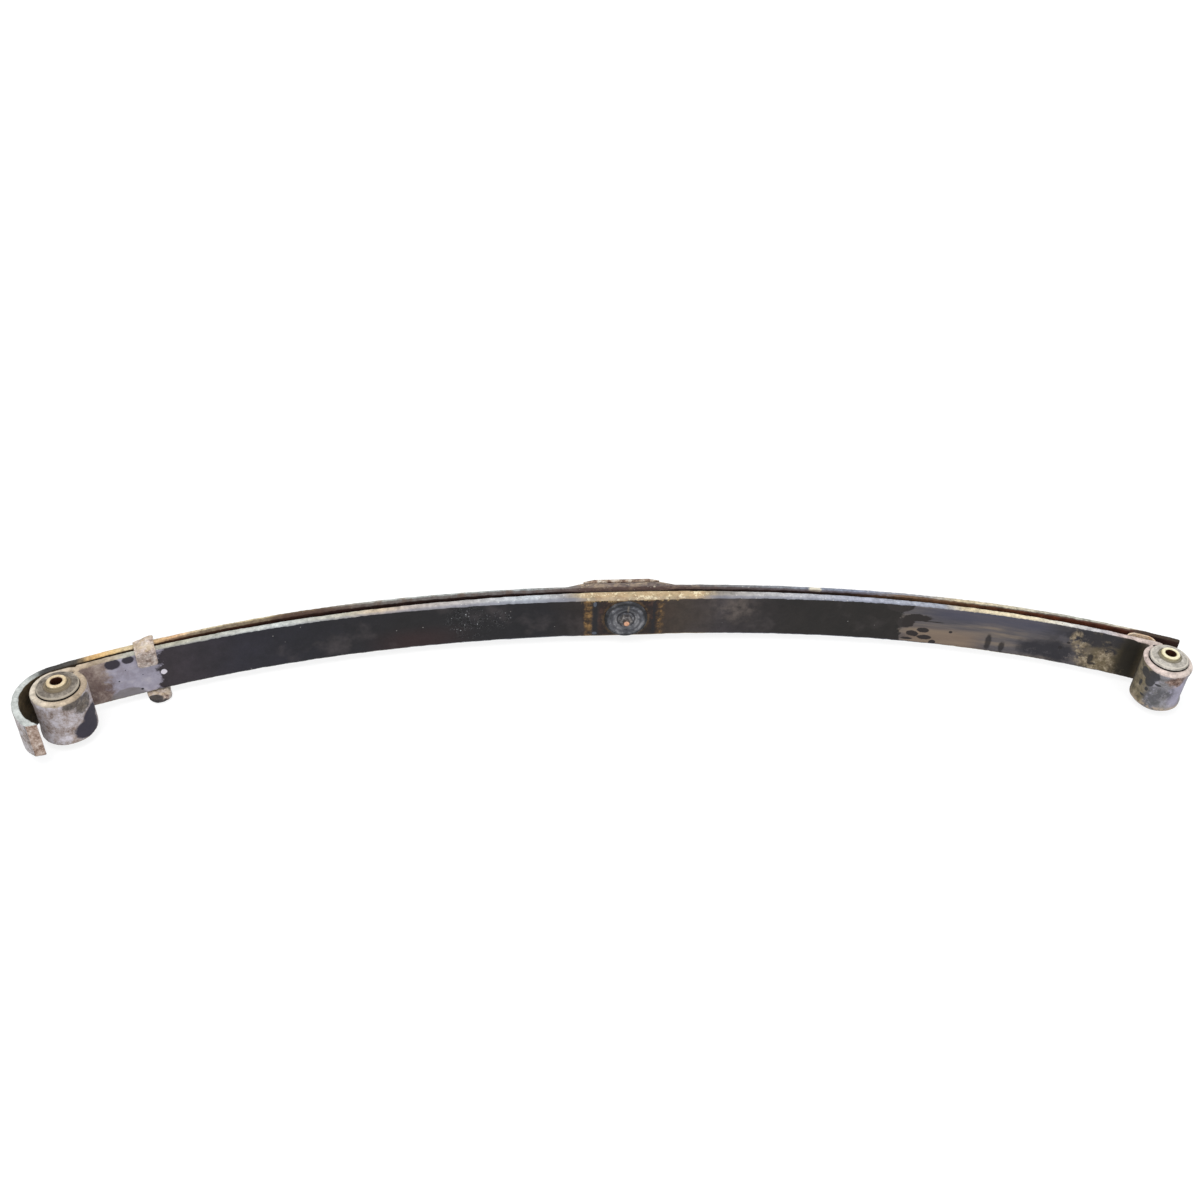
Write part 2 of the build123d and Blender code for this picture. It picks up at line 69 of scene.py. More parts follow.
def edge_curve(node):
    """Polynomial for the Y of a leaf's middle line over X, highest power first."""
    places = np.empty(len(nodes[node].data.vertices) * 3)
    nodes[node].data.vertices.foreach_get("co", places)
    places = places.reshape(-1, 3)
    arms = places[np.abs(places[:, 0]) < ARM_REACH]
    steps = np.linspace(-ARM_REACH, ARM_REACH, 61)
    x, y = [], []
    for start, end in zip(steps[:-1], steps[1:]):
        here = arms[(arms[:, 0] >= start) & (arms[:, 0] <= end)]
        if len(here):
            x.append(here[:, 0].mean())
            y.append((here[:, 1].min() + here[:, 1].max()) / 2)
    return [float(c) for c in np.polyfit(x, y, 8)]


EYES = {side: middle(f"{side}_bush_sleeve") for side in SIDES}
EYE_RADIUS = {"left": EYES["left"].y - main_low.y - 0.0005, "right": EYES["right"].y - main_low.y}
EYE_BORE = radius_of("left_bush_shell") + 0.00002
RIM_ROUND = {"left": 0.008, "right": 0.0066}  # radius of an eye's rounded outer rims
MOUTH_ROUND = 0.0008  # and of the rims of its bore
BARREL_WAIST = {"left": 0.0022, "right": 0.0018}  # how far an eye is drawn in between its rims
SLEEVE_RADIUS = radius_of("left_bush_sleeve")
SLEEVE_BORE = 0.0071

# The second leaf's wrap round the left eye, whose end is cut on the skew
WRAP_OUTER = 0.0573
WRAP_INNER = 0.048
WRAP_MIDDLE = Vector((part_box("second_leaf")[0].x + WRAP_OUTER, -0.20396, 0.0))
WRAP_END = math.radians(247.0)
WRAP_SKEW = math.radians(8.5)
WRAP_LENGTHEN = math.radians(4.0)
WRAP_SKEW_START = math.radians(226.0)
WRAP_CUT_TURN = math.radians(-76.0)

# The clip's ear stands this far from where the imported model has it
CLIP_EAR_SHIFT = Vector((0.0048, 0.0014, 0.0))

# The floor's own glow rises between these distances from the origin, and between these strengths
GLOW_DISTANCE = (1.2, 3.6)
GLOW_STRENGTH = (0.81, 1.0)
FLOOR_REACH = 9.0  # half the floor's side
CAMERA_PLACE = (-0.1695, -1.4047, 1.1406)


def on_barrel(side, degrees, z):
    """A point on the outside of an eye, `degrees` round from +X towards +Y."""
    turn = math.radians(degrees)
    centre = EYES[side]
    reach = EYE_RADIUS[side]
    return (centre.x + reach * math.cos(turn), centre.y + reach * math.sin(turn), z)


# ---------------------------------------------------------------- material tools
def linear(colour):
    """An sRGB colour, 0 to 255, as linear RGBA."""
    out = []
    for value in colour:
        value /= 255
        out.append(value / 12.92 if value <= 0.04045 else ((value + 0.055) / 1.055) ** 2.4)
    return (*out, 1.0)


class Nodes:
    """Fills a cleared node tree. Its methods return sockets that later ones take."""

    def __init__(self, tree):
        self.tree = tree
        tree.nodes.clear()

    def add(self, kind, inputs=None, **settings):
        """A new node, with its settings and with values or links for its inputs."""
        node = self.tree.nodes.new(kind)
        for key, value in settings.items():
            setattr(node, key, value)
        for key, value in (inputs or {}).items():
            self.plug(node.inputs[key], value)
        return node

    def plug(self, socket, value):
        """Links a socket, or sets it: three values for a colour are sRGB, 0 to 255."""
        if hasattr(value, "links"):
            self.tree.links.new(value, socket)
        elif isinstance(value, tuple) and len(value) == 3 and len(socket.default_value) == 4:
            socket.default_value = linear(value)
        else:
            socket.default_value = value

    def sum(self, operation, a, b=None, c=None, clamp=False):
        inputs = {key: value for key, value in enumerate((a, b, c)) if value is not None}
        return self.add("ShaderNodeMath", inputs, operation=operation, use_clamp=clamp).outputs[0]

    def shader(self, kind, colour, strength=None):
        """A simple shader in a linear colour."""
        strengths = {} if strength is None else {"Strength": strength}
        return self.add(kind, {"Color": (*colour, 1.0), **strengths}).outputs[0]

    def map_range(self, value, given, wanted, kind="LINEAR"):
        names = ("From Min", "From Max", "To Min", "To Max")
        inputs = {"Value": value, **dict(zip(names, given + wanted))}
        return self.add("ShaderNodeMapRange", inputs, interpolation_type=kind).outputs[0]

    def length(self, a):
        return self.add("ShaderNodeVectorMath", {0: a}, operation="LENGTH").outputs["Value"]

    def seen_directly(self):
        """1 for rays that show a surface to the camera, straight, in a gloss or through glass."""
        paths = self.add("ShaderNodeLightPath").outputs
        seen = self.sum("MAXIMUM", paths["Is Camera Ray"], paths["Is Glossy Ray"])
        return self.sum("MAXIMUM", seen, paths["Is Transmission Ray"])


class Paint(Nodes):
    """A procedural material of the spring, in CAD coordinates."""

    def __init__(self, name):
        self.material = bpy.data.materials.new(name)
        self.material.use_nodes = True
        super().__init__(self.material.node_tree)
        self.place = self.add("ShaderNodeTexCoord").outputs["Object"]
        self.x, self.y, self.z = self.split(self.place)
        normal = self.add("ShaderNodeNewGeometry").outputs["Normal"]
        self.nx, self.ny, self.nz = self.split(normal)

    def split(self, vector):
        return self.add("ShaderNodeSeparateXYZ", {0: vector}).outputs

    def nudge(self, value, by, amount):
        """`value` plus `amount` times `by`."""
        return self.sum("MULTIPLY_ADD", by, amount, value)

    def polynomial(self, value, factors):
        """Highest power first."""
        out = factors[0]
        for factor in factors[1:]:
            out = self.sum("MULTIPLY_ADD", out, value, factor)
        return out

    def vector(self, operation, a, b):
        return self.add("ShaderNodeVectorMath", {0: a, 1: b}, operation=operation).outputs[0]

    def reach(self, centre, flat=ABOUT_Z):
        """Distance from an axis through `centre`, measured along the directions that `flat` keeps."""
        away = self.vector("SUBTRACT", self.place, tuple(centre))
        return self.length(self.vector("MULTIPLY", away, flat))

    def noise(self, scale, detail=3.0, roughness=0.55, stretch=(1, 1, 1), shift=0.0, warp=0.0):
        place = self.place
        if stretch != (1, 1, 1) or shift:
            place = self.vector("MULTIPLY", place, tuple(float(s) for s in stretch))
            place = self.vector("ADD", place, (shift, shift * 0.7, shift * 1.3))
        inputs = {"Scale": scale, "Detail": detail, "Roughness": roughness, "Distortion": warp}
        return self.add("ShaderNodeTexNoise", {"Vector": place, **inputs}).outputs[0]

    def specks(self, scale, size, shift=0.0):
        """Round specks about `size` of a cell wide, one to a cell."""
        place = self.vector("ADD", self.place, (shift, shift, shift)) if shift else self.place
        cells = self.add("ShaderNodeTexVoronoi", {"Vector": place, "Scale": scale}).outputs
        return self.step(cells["Distance"], size, size * 0.6)

    def step(self, value, low, high):
        """0 below `low` and 1 above `high`, smooth between; the other way if low is above high."""
        ends = (0.0, 1.0) if low < high else (1.0, 0.0)
        return self.map_range(value, (min(low, high), max(low, high)), ends, "SMOOTHSTEP")

    def patches(self, scale, detail, roughness, shift, low, high):
        """A mask of patches that a noise sets out."""
        return self.step(self.noise(scale, detail, roughness, shift=shift), low, high)

    def both(self, *masks):
        out = masks[0]
        for mask in masks[1:]:
            out = self.sum("MULTIPLY", out, mask)
        return out

    def any(self, *masks):
        out = masks[0]
        for mask in masks[1:]:
            out = self.sum("MAXIMUM", out, mask)
        return out

    def band(self, value, low, high, soft):
        rise = self.step(value, low - soft, low + soft)
        return self.both(rise, self.step(value, high + soft, high - soft))

    def blob(self, centre, radii, ragged=None, amount=0.5, soft=0.12):
        """A filled ellipsoid with a ragged outline."""
        away = self.vector("SUBTRACT", self.place, tuple(centre))
        away = self.vector("MULTIPLY", away, tuple(1 / r for r in radii))
        reach = self.length(away)
        if ragged is not None:
            reach = self.nudge(reach, ragged, amount)
            reach = self.sum("SUBTRACT", reach, amount / 2)
        return self.step(reach, 1 + soft, 1 - soft)

    def face_spots(self, ragged, *spots):
        """Spots on the front face: x, z, half width, half height, then raggedness and softness."""
        masks = []
        for x, z, wide, high, *edge in spots:
            masks.append(self.blob((x, 0.0, z), (wide, THROUGH, high), ragged if edge else None, *edge))
        return self.any(*masks)

    def barrel_spots(self, side, ragged, *spots):
        """Spots on an eye: degrees round it, z, half sizes, then raggedness and softness."""
        masks = []
        for degrees, z, wide, deep, high, *edge in spots:
            masks.append(self.blob(on_barrel(side, degrees, z), (wide, deep, high), ragged, *edge))
        return self.any(*masks)

    def broken(self, mask, scale, low, high, shift=0.0):
        """A mask broken up by fine mottling."""
        return self.both(mask, self.patches(scale, 6.0, 0.75, shift, low, high))

    def mix(self, mask, a, b, blend="MIX"):
        node = self.add("ShaderNodeMix", {0: mask, 6: a, 7: b}, data_type="RGBA", blend_type=blend)
        return node.outputs[2]

    def tint(self, colour, mask, share, new):
        """Lays `share` of a new colour over `colour` where the mask is."""
        return self.mix(self.sum("MULTIPLY", mask, share), colour, new)

    def layers(self, colour, *coats):
        """Lays coats over a colour. Each is a mask, its share unless it is 1, and a new colour."""
        for mask, *share, new in coats:
            colour = self.tint(colour, mask, share[0], new) if share else self.mix(mask, colour, new)
        return colour

    def ramp(self, value, stops):
        """Colours at places 0 to 1 of `value`."""
        node = self.add("ShaderNodeValToRGB", {0: value})
        bands = node.color_ramp.elements
        while len(bands) < len(stops):
            bands.new(0.5)
        for band, (place, colour) in zip(bands, stops):
            band.position = place
            band.color = linear(colour)
        return node.outputs[0]

    def mottle(self, scale, detail, roughness, shift, stops):
        """Colours in patches that a noise sets out."""
        return self.ramp(self.noise(scale, detail, roughness, shift=shift), stops)

    def ramp_along(self, stops, wander=0.02, scale=18.0):
        """Colours at places along X, in metres, with wandering borders."""
        low, high = stops[0][0], stops[-1][0]
        shifted = self.sum("MULTIPLY_ADD", self.noise(scale, 4.0, 0.65, shift=3.1), wander * 2, self.x)
        shifted = self.sum("SUBTRACT", shifted, wander)
        place = self.sum("MULTIPLY_ADD", shifted, 1 / (high - low), -low / (high - low), clamp=True)
        return self.ramp(place, [((x - low) / (high - low), colour) for x, colour in stops])

    def grime(self, colour, strength=0.35, scale=60.0, shift=0.0):
        """Light and dark mottling over a colour."""
        value = self.noise(scale, 6.0, 0.7, shift=shift)
        shade = self.ramp(value, [(0.3, (int(255 - 255 * strength),) * 3), (0.7, (255, 255, 255))])
        return self.mix(1.0, colour, shade, "MULTIPLY")

    def finish(self, colour, rough, bump, height, specular=0.3):
        """The finished material, with a surface uneven by `bump` metres."""
        bumps = self.add("ShaderNodeBump", {"Strength": 1.0, "Distance": bump, "Height": height}).outputs
        looks = {"Base Color": colour, "Roughness": rough, "Specular IOR Level": specular}
        shader = self.add("ShaderNodeBsdfPrincipled", {**looks, "Normal": bumps[0]})
        self.add("ShaderNodeOutputMaterial", {0: shader.outputs[0]})
        return self.material


def wear(piece, material):
    """Gives a piece one material."""
    piece.data.materials.clear()
    piece.data.materials.append(material)


def smooth(piece, angle):
    """Smooth shading, with edges sharper than `angle` degrees kept."""
    for polygon in piece.data.polygons:
        polygon.use_smooth = True
    piece.data.set_sharp_from_angle(angle=math.radians(angle))


# ---------------------------------------------------------------- main leaf
def main_leaf_material():
    p = Paint("main_leaf_worn_paint")
    fine = p.noise(220.0, 5.0, 0.7)
    ragged = p.noise(90.0, 4.0, 0.65, shift=1.7)
    broad = p.noise(14.0, 4.0, 0.6, shift=5.3)
    streaks = p.noise(60.0, 4.0, 0.6, stretch=(0.12, 0.5, 1.6), shift=2.2)

    # Distance behind the middle of the leaf's thickness
    across = p.sum("SUBTRACT", p.y, p.polynomial(p.x, edge_curve("main_leaf")))

    # Black paint, cooler towards the left eye and browner towards the right
    face = p.ramp_along([
        (-0.78, (50, 44, 44)), (-0.6, (58, 51, 57)), (-0.52, (42, 40, 50)), (-0.44, (30, 29, 37)),
        (-0.3, (28, 26, 28)), (-0.12, (27, 26, 31)), (-0.07, (42, 35, 34)), (0.05, (66, 54, 46)),
        (0.085, (74, 64, 57)), (0.13, (66, 60, 62)), (0.175, (46, 41, 42)), (0.24, (33, 29, 27)),
        (0.36, (30, 26, 23)), (0.8, (52, 48, 46)),
    ], wander=0.03)
    face = p.grime(face, 0.3, 45.0)
    haze = p.both(p.step(broad, 0.55, 0.75), p.step(p.x, 0.42, 0.3))
    ruddy = p.both(p.band(p.x, -0.34, -0.24, 0.04), p.step(p.z, 0.01, -0.02))
    smudge = p.face_spots(ragged, (0.15, 0.012, 0.03, 0.022, 0.9, 0.6))
    smudge = p.both(smudge, p.patches(50.0, 4.0, 0.65, 3.0, 0.36, 0.7))
    face = p.layers(
        face, (haze, 0.22, (128, 118, 118)), (ruddy, 0.35, (62, 34, 34)), (smudge, 0.75, (108, 98, 92))
    )

    # Dust over the right arm, with brushed streaks
    dust_start = p.nudge(p.x, ragged, 0.05)
    dust = p.step(dust_start, 0.413, 0.423)
    dust_colour = p.ramp(streaks, [(0.3, (72, 70, 76)), (0.5, (97, 92, 93)), (0.72, (132, 119, 106))])
    low_tan = p.both(p.band(p.x, 0.4, 0.5, 0.02), p.step(p.z, 0.004, -0.016))
    blue_top = p.both(p.band(p.x, 0.43, 0.6, 0.03), p.step(p.z, 0.004, 0.024))
    dark_right = p.band(p.x, 0.59, 0.66, 0.025)
    dark_right = p.both(dark_right, p.patches(30.0, 3.0, 0.6, 8.0, 0.42, 0.6))
    olive = p.both(p.step(p.x, 0.625, 0.66), p.step(broad, 0.3, 0.62))
    dust_colour = p.layers(
        dust_colour,
        (low_tan, 0.6, (150, 128, 106)),
        (blue_top, 0.8, (76, 76, 90)),
        (dark_right, 0.75, (50, 48, 50)),
        (olive, (104, 92, 68)),
    )
    dark_zone = p.face_spots(
        ragged, (0.576, -0.016, 0.022, 0.014, 1.2, 0.45), (0.604, -0.014, 0.026, 0.018, 1.0, 0.35),
        (0.65, 0.021, 0.036, 0.015, 1.1, 0.35), (0.668, 0.004, 0.01, 0.007, 1.0, 0.35),
    )
    tan_patches = p.face_spots(
        ragged, (0.6245, 0.015, 0.0065, 0.013, 1.3, 0.45), (0.633, 0.002, 0.0085, 0.012, 1.5, 0.45),
        (0.6415, -0.012, 0.01, 0.012, 1.5, 0.45), (0.652, -0.026, 0.016, 0.008, 1.5, 0.45),
        (0.664, -0.006, 0.013, 0.012, 1.6, 0.45), (0.68, -0.024, 0.012, 0.01, 1.6, 0.45),
    )
    tan_colour = p.mottle(140.0, 6.0, 0.75, 5.1, [
        (0.36, (76, 68, 56)), (0.5, (138, 123, 101)), (0.64, (192, 177, 152)),
    ])
    black_flecks = p.face_spots(
        ragged, (0.6495, -0.013, 0.0036, 0.008, 2.6, 0.3), (0.653, -0.023, 0.005, 0.0025, 2.4, 0.3),
        (0.617, 0.005, 0.0022, 0.002, 0.8, 0.3), (0.6085, -0.006, 0.003, 0.003, 1.2, 0.3),
        (0.668, 0.016, 0.002, 0.002, 0.8, 0.3), (0.515, -0.017, 0.0042, 0.013, 1.0, 0.3),
        (0.534, -0.023, 0.004, 0.01, 1.0, 0.3),
    )
    paint_splashes = p.face_spots(
        ragged, (0.386, 0.031, 0.019, 0.011, 0.8), (0.412, 0.012, 0.021, 0.0065, 1.0),
        (0.398, 0.002, 0.012, 0.01, 0.9), (0.4235, -0.0095, 0.0085, 0.0045, 0.7),
        (0.41, -0.017, 0.0085, 0.005, 1.0), (0.428, -0.022, 0.0095, 0.004, 0.7),
        (0.44, -0.03, 0.005, 0.0045, 0.6), (0.403, -0.027, 0.0085, 0.0022, 1.0),
        (0.462, -0.008, 0.0025, 0.0022), (0.437, 0.007, 0.014, 0.0008),
    )
    face = p.layers(
        face,
        (dust, dust_colour),
        (p.broken(dark_zone, 80.0, 0.3, 0.46, 3.0), 0.92, (42, 41, 46)),
        (p.broken(tan_patches, 110.0, 0.42, 0.54, 6.0), tan_colour),
        (black_flecks, 0.85, (34, 31, 32)),
        (paint_splashes, (42, 37, 36)),
    )

    # Pale old primer showing near the left eye, with round drops of paint on it
    bare_end = p.nudge(p.x, p.noise(55.0, 5.0, 0.7, shift=6.6), 0.04)
    bare_end = p.nudge(bare_end, p.z, -0.14)
    bare = p.step(bare_end, -0.599, -0.605)
    primer = p.mottle(70.0, 6.0, 0.7, 4.0, [
        (0.3, (146, 138, 148)), (0.52, (172, 167, 182)), (0.72, (196, 190, 198)),
    ])
    mud = p.step(p.nudge(p.x, ragged, 0.045), -0.648, -0.664)
    mud_colour = p.mottle(85.0, 6.0, 0.75, 9.0, [
        (0.34, (112, 92, 84)), (0.5, (150, 132, 122)), (0.66, (182, 166, 154)),
    ])
    dark_mud = p.broken(
        p.both(p.step(p.z, 0.012, -0.006), p.step(p.z, -0.036, -0.024)), 50.0, 0.38, 0.56, 4.0
    )
    mud_colour = p.tint(mud_colour, dark_mud, 0.8, (92, 70, 62))
    grey_patch = p.face_spots(ragged, (-0.664, -0.034, 0.021, 0.016, 0.3, 0.08))
    drops = p.face_spots(
        ragged,
        (-0.6725, 0.0265, 0.0088, 0.0088, 0.35, 0.15), (-0.6545, 0.028, 0.0068, 0.0062, 0.5, 0.15),
        (-0.6465, -0.0255, 0.0017, 0.0017), (-0.67, -0.004, 0.0011, 0.0011), (-0.66, 0.012, 0.0008, 0.0008),
        (-0.642, -0.002, 0.0007, 0.0007),
    )
    primer = p.layers(
        primer,
        (p.step(streaks, 0.5, 0.8), 0.3, (150, 140, 140)),
        (p.broken(mud, 75.0, 0.22, 0.4, 5.0), 0.95, mud_colour),
        (grey_patch, 0.75, (126, 120, 118)),
        (drops, (58, 54, 62)),
    )
    white_blob = p.face_spots(ragged, (-0.6175, -0.005, 0.0036, 0.0042, 0.8))
    face = p.layers(face, (bare, primer), (p.broken(white_blob, 300.0, 0.3, 0.42, 2.0), (240, 234, 242)))

    # Chips and pits in the paint left of the centre
    pitted = p.face_spots(
        ragged, (-0.222, 0.004, 0.03, 0.026, 1.4, 0.3), (-0.176, 0.006, 0.016, 0.014, 1.4, 0.3)
    )
    pits = p.both(pitted, p.specks(240.0, 0.26), p.step(ragged, 0.52, 0.58))
    dark_pits = p.both(pitted, p.patches(150.0, 5.0, 0.7, 0.4, 0.55, 0.58))
    pit_rims = p.both(pitted, p.band(p.noise(150.0, 5.0, 0.7, shift=0.4), 0.545, 0.552, 0.004))
    sparse = p.both(p.specks(75.0, 0.07, shift=1.2), p.patches(22.0, 2.0, 0.5, 2.5, 0.52, 0.6))
    face = p.layers(
        face,
        (pits, (176, 178, 180)),
        (dark_pits, (12, 11, 13)),
        (pit_rims, 0.6, (168, 168, 172)),
        (sparse, 0.8, (168, 164, 160)),
    )

    # Clamp marks at the centre: two rust bands, a dark line with bright ends, and stain round the cup
    wander = p.nudge(p.x, p.noise(160.0, 6.0, 0.8, shift=4.0), 0.012)
    wander = p.sum("SUBTRACT", wander, 0.006)
    stain = p.band(wander, -0.04, 0.047, 0.005)
    stain_colour = p.mottle(70.0, 5.0, 0.7, 18.0, [
        (0.38, (20, 14, 13)), (0.52, (38, 25, 22)), (0.66, (72, 50, 42)),
    ])
    rust = p.mottle(110.0, 5.0, 0.7, 7.7, [
        (0.38, (44, 34, 27)), (0.5, (92, 70, 44)), (0.62, (154, 120, 76)),
    ])
    left_band = p.band(wander, -0.058, -0.0485, 0.0022)
    right_band = p.band(wander, 0.044, 0.053, 0.003)
    dark_line = p.any(p.band(wander, -0.047, -0.0395, 0.0016), p.band(wander, 0.0375, 0.0415, 0.0016))
    line_ends = p.face_spots(
        ragged, (-0.044, 0.0255, 0.0022, 0.0045, 0.7), (-0.044, -0.027, 0.0034, 0.0028, 0.7)
    )
    ring = p.face_spots(ragged, (0.0, 0.0, 0.0335, 0.0335, 0.35, 0.08))
    drips = p.step(p.nudge(p.z, p.noise(90.0, 6.0, 0.8, shift=7.0), 0.026), 0.0425, 0.0445)
    drips = p.both(drips, p.band(p.x, -0.06, 0.075, 0.01))
    face = p.layers(
        face,
        (stain, 0.95, stain_colour),
        (left_band, 0.9, rust),
        (p.both(right_band, p.step(fine, 0.36, 0.6)), 0.75, rust),
        (dark_line, 0.9, (22, 21, 25)),
        (line_ends, 0.7, (100, 106, 118)),
        (p.broken(ring, 120.0, 0.4, 0.56, 1.0), 0.7, (104, 84, 60)),
        (drips, 0.85, (168, 142, 100)),
    )

    # Barrels of the eyes
    barrel_left = p.step(p.x, -0.688, -0.692)
    left_colour = p.mottle(95.0, 7.0, 0.8, 12.0, [
        (0.36, (128, 110, 100)), (0.45, (178, 164, 160)), (0.54, (206, 198, 202)), (0.68, (232, 226, 234)),
    ])
    left_rust = p.patches(50.0, 5.0, 0.7, 13.0, 0.5, 0.66)
    left_dark = p.barrel_spots(
        "left", ragged, (-44, 0.027, 0.02, 0.02, 0.008, 1.0), (-24, 0.019, 0.018, 0.018, 0.015, 0.9),
        (-58, 0.029, 0.012, 0.012, 0.003, 0.9),
    )
    left_dark_colour = p.mottle(130.0, 6.0, 0.8, 10.0, [
        (0.36, (58, 54, 52)), (0.52, (96, 88, 80)), (0.66, (148, 136, 122)),
    ])
    left_black = p.barrel_spots(
        "left", ragged, (-34, -0.02, 0.02, 0.02, 0.015, 0.4), (-8, -0.006, 0.02, 0.02, 0.013, 0.4),
        (-20, -0.018, 0.02, 0.02, 0.017, 0.4),
    )
    seam_left = p.barrel_spots("left", ragged, (2, 0.01, 0.006, 0.01, 0.026, 0.9, 0.3))
    left_colour = p.layers(
        left_colour,
        (left_rust, 0.55, (162, 138, 118)),
        (left_dark, 0.9, left_dark_colour),
        (left_black, (60, 56, 66)),
        (seam_left, 0.8, (178, 138, 92)),
    )
    face = p.mix(p.both(barrel_left, p.step(p.y, -0.158, -0.166)), face, left_colour)

    barrel_right = p.step(p.x, 0.684, 0.688)
    right_colour = p.mottle(85.0, 7.0, 0.8, 21.0, [
        (0.34, (96, 94, 93)), (0.46, (132, 129, 130)), (0.58, (160, 157, 165)), (0.72, (198, 193, 205)),
    ])
    lavender = p.barrel_spots("right", ragged, (-68, -0.004, 0.014, 0.014, 0.024, 1.2, 0.4))
    sooty = p.barrel_spots(
        "right",
        ragged,
        (-112, -0.003, 0.02, 0.02, 0.011, 1.2, 0.4), (-140, -0.018, 0.018, 0.018, 0.011, 1.2, 0.4),
    )
    sooty = p.broken(sooty, 70.0, 0.36, 0.52, 5.0)
    olive_side = p.step(p.nudge(p.x, ragged, 0.006), 0.702, 0.696)
    olive_colour = p.mottle(90.0, 5.0, 0.7, 25.0, [
        (0.34, (84, 76, 58)), (0.52, (134, 122, 96)), (0.68, (182, 168, 142)),
    ])
    rust_side = p.barrel_spots("right", ragged, (-86, 0.0205, 0.012, 0.012, 0.0096, 1.6, 0.35))
    rust_colour = p.mottle(150.0, 6.0, 0.8, 2.2, [
        (0.38, (82, 66, 58)), (0.5, (134, 108, 96)), (0.62, (202, 180, 168)),
    ])
    heart = p.barrel_spots(
        "right",
        ragged,
        (-166, 0.019, 0.0085, 0.0085, 0.0085, 0.5), (-143, 0.0215, 0.0088, 0.0088, 0.0088, 0.5),
        (-148, 0.0105, 0.0078, 0.0078, 0.0095, 0.5), (-126, 0.0095, 0.005, 0.005, 0.0022, 1.0),
        (-156, -0.0165, 0.0045, 0.0045, 0.0018, 1.2), (-169, -0.002, 0.0022, 0.004, 0.0075, 1.6),
        (-150, -0.004, 0.003, 0.003, 0.004, 1.6),
    )
    foot = p.both(p.step(p.z, -0.0235, -0.03), p.step(ragged, 0.4, 0.52))
    right_colour = p.layers(
        right_colour,
        (lavender, 0.6, (188, 182, 204)),
        (sooty, 0.8, (78, 78, 80)),
        (olive_side, 0.9, olive_colour),
        (p.broken(rust_side, 120.0, 0.3, 0.46, 4.4), rust_colour),
        (heart, 0.92, (56, 56, 58)),
        (foot, 0.9, (196, 176, 152)),
    )
    # Painted shadow, nearly black, in the crease where the right eye turns out of the leaf
    crease_x = p.nudge(p.x, ragged, 0.01)
    before_eye = p.nudge(p.sum("ADD", p.y, 0.151), p.sum("SUBTRACT", p.x, 0.68), 0.42)
    crease_shadow = p.both(
        p.band(crease_x, 0.684, 0.712, 0.009), p.step(p.y, -0.196, -0.186),
        p.step(before_eye, -0.002, -0.004),
    )
    face = p.layers(
        face,
        (p.both(barrel_right, p.step(p.y, -0.166, -0.174)), right_colour),
        (p.broken(crease_shadow, 60.0, 0.2, 0.36, 2.0), 0.92, (18, 15, 10)),
    )

    # Hidden side that faces the second leaf
    back = p.both(p.step(p.ny, 0.45, 0.65), p.step(across, -0.004, -0.001))
    back_colour = p.mottle(70.0, 6.0, 0.7, 31.0, [
        (0.35, (58, 32, 22)), (0.55, (92, 50, 32)), (0.7, (124, 80, 50)),
    ])
    face = p.mix(back, face, back_colour)

    # Rolled edges: bare, bright and dusty, with painted shade along their front and back
    edge_colour = p.ramp_along([
        (-0.78, (244, 234, 216)), (-0.745, (242, 228, 208)), (-0.715, (226, 206, 180)),
        (-0.69, (178, 158, 134)), (-0.672, (200, 184, 162)), (-0.655, (206, 204, 190)),
        (-0.6, (204, 200, 180)), (-0.56, (206, 206, 194)), (-0.47, (222, 226, 222)),
        (-0.38, (206, 200, 182)), (-0.345, (226, 206, 178)), (-0.3, (206, 194, 186)),
        (-0.2, (204, 202, 202)), (-0.14, (222, 230, 236)), (-0.085, (176, 172, 172)),
        (-0.06, (190, 170, 136)), (0.105, (204, 182, 142)), (0.135, (168, 160, 152)),
        (0.2, (206, 204, 204)), (0.33, (190, 194, 210)), (0.445, (180, 184, 196)), (0.475, (246, 228, 190)),
        (0.57, (253, 238, 204)), (0.61, (240, 236, 226)), (0.655, (222, 218, 222)), (0.68, (222, 200, 192)),
        (0.7, (242, 222, 212)), (0.78, (250, 234, 220)),
    ], wander=0.012, scale=30.0)
    edge_colour = p.grime(edge_colour, 0.34, 130.0, shift=2.0)
    centre_mud = p.band(p.x, -0.062, 0.12, 0.01)
    centre_mud = p.both(centre_mud, p.patches(60.0, 5.0, 0.7, 15.0, 0.36, 0.56))
    brown = p.both(p.band(p.x, -0.06, 0.115, 0.01), p.patches(85.0, 6.0, 0.75, 26.0, 0.52, 0.6))
    gold = p.both(p.band(p.x, -0.062, 0.12, 0.01), p.patches(130.0, 4.0, 0.7, 16.0, 0.55, 0.6))
    across = p.nudge(across, ragged, 0.004)
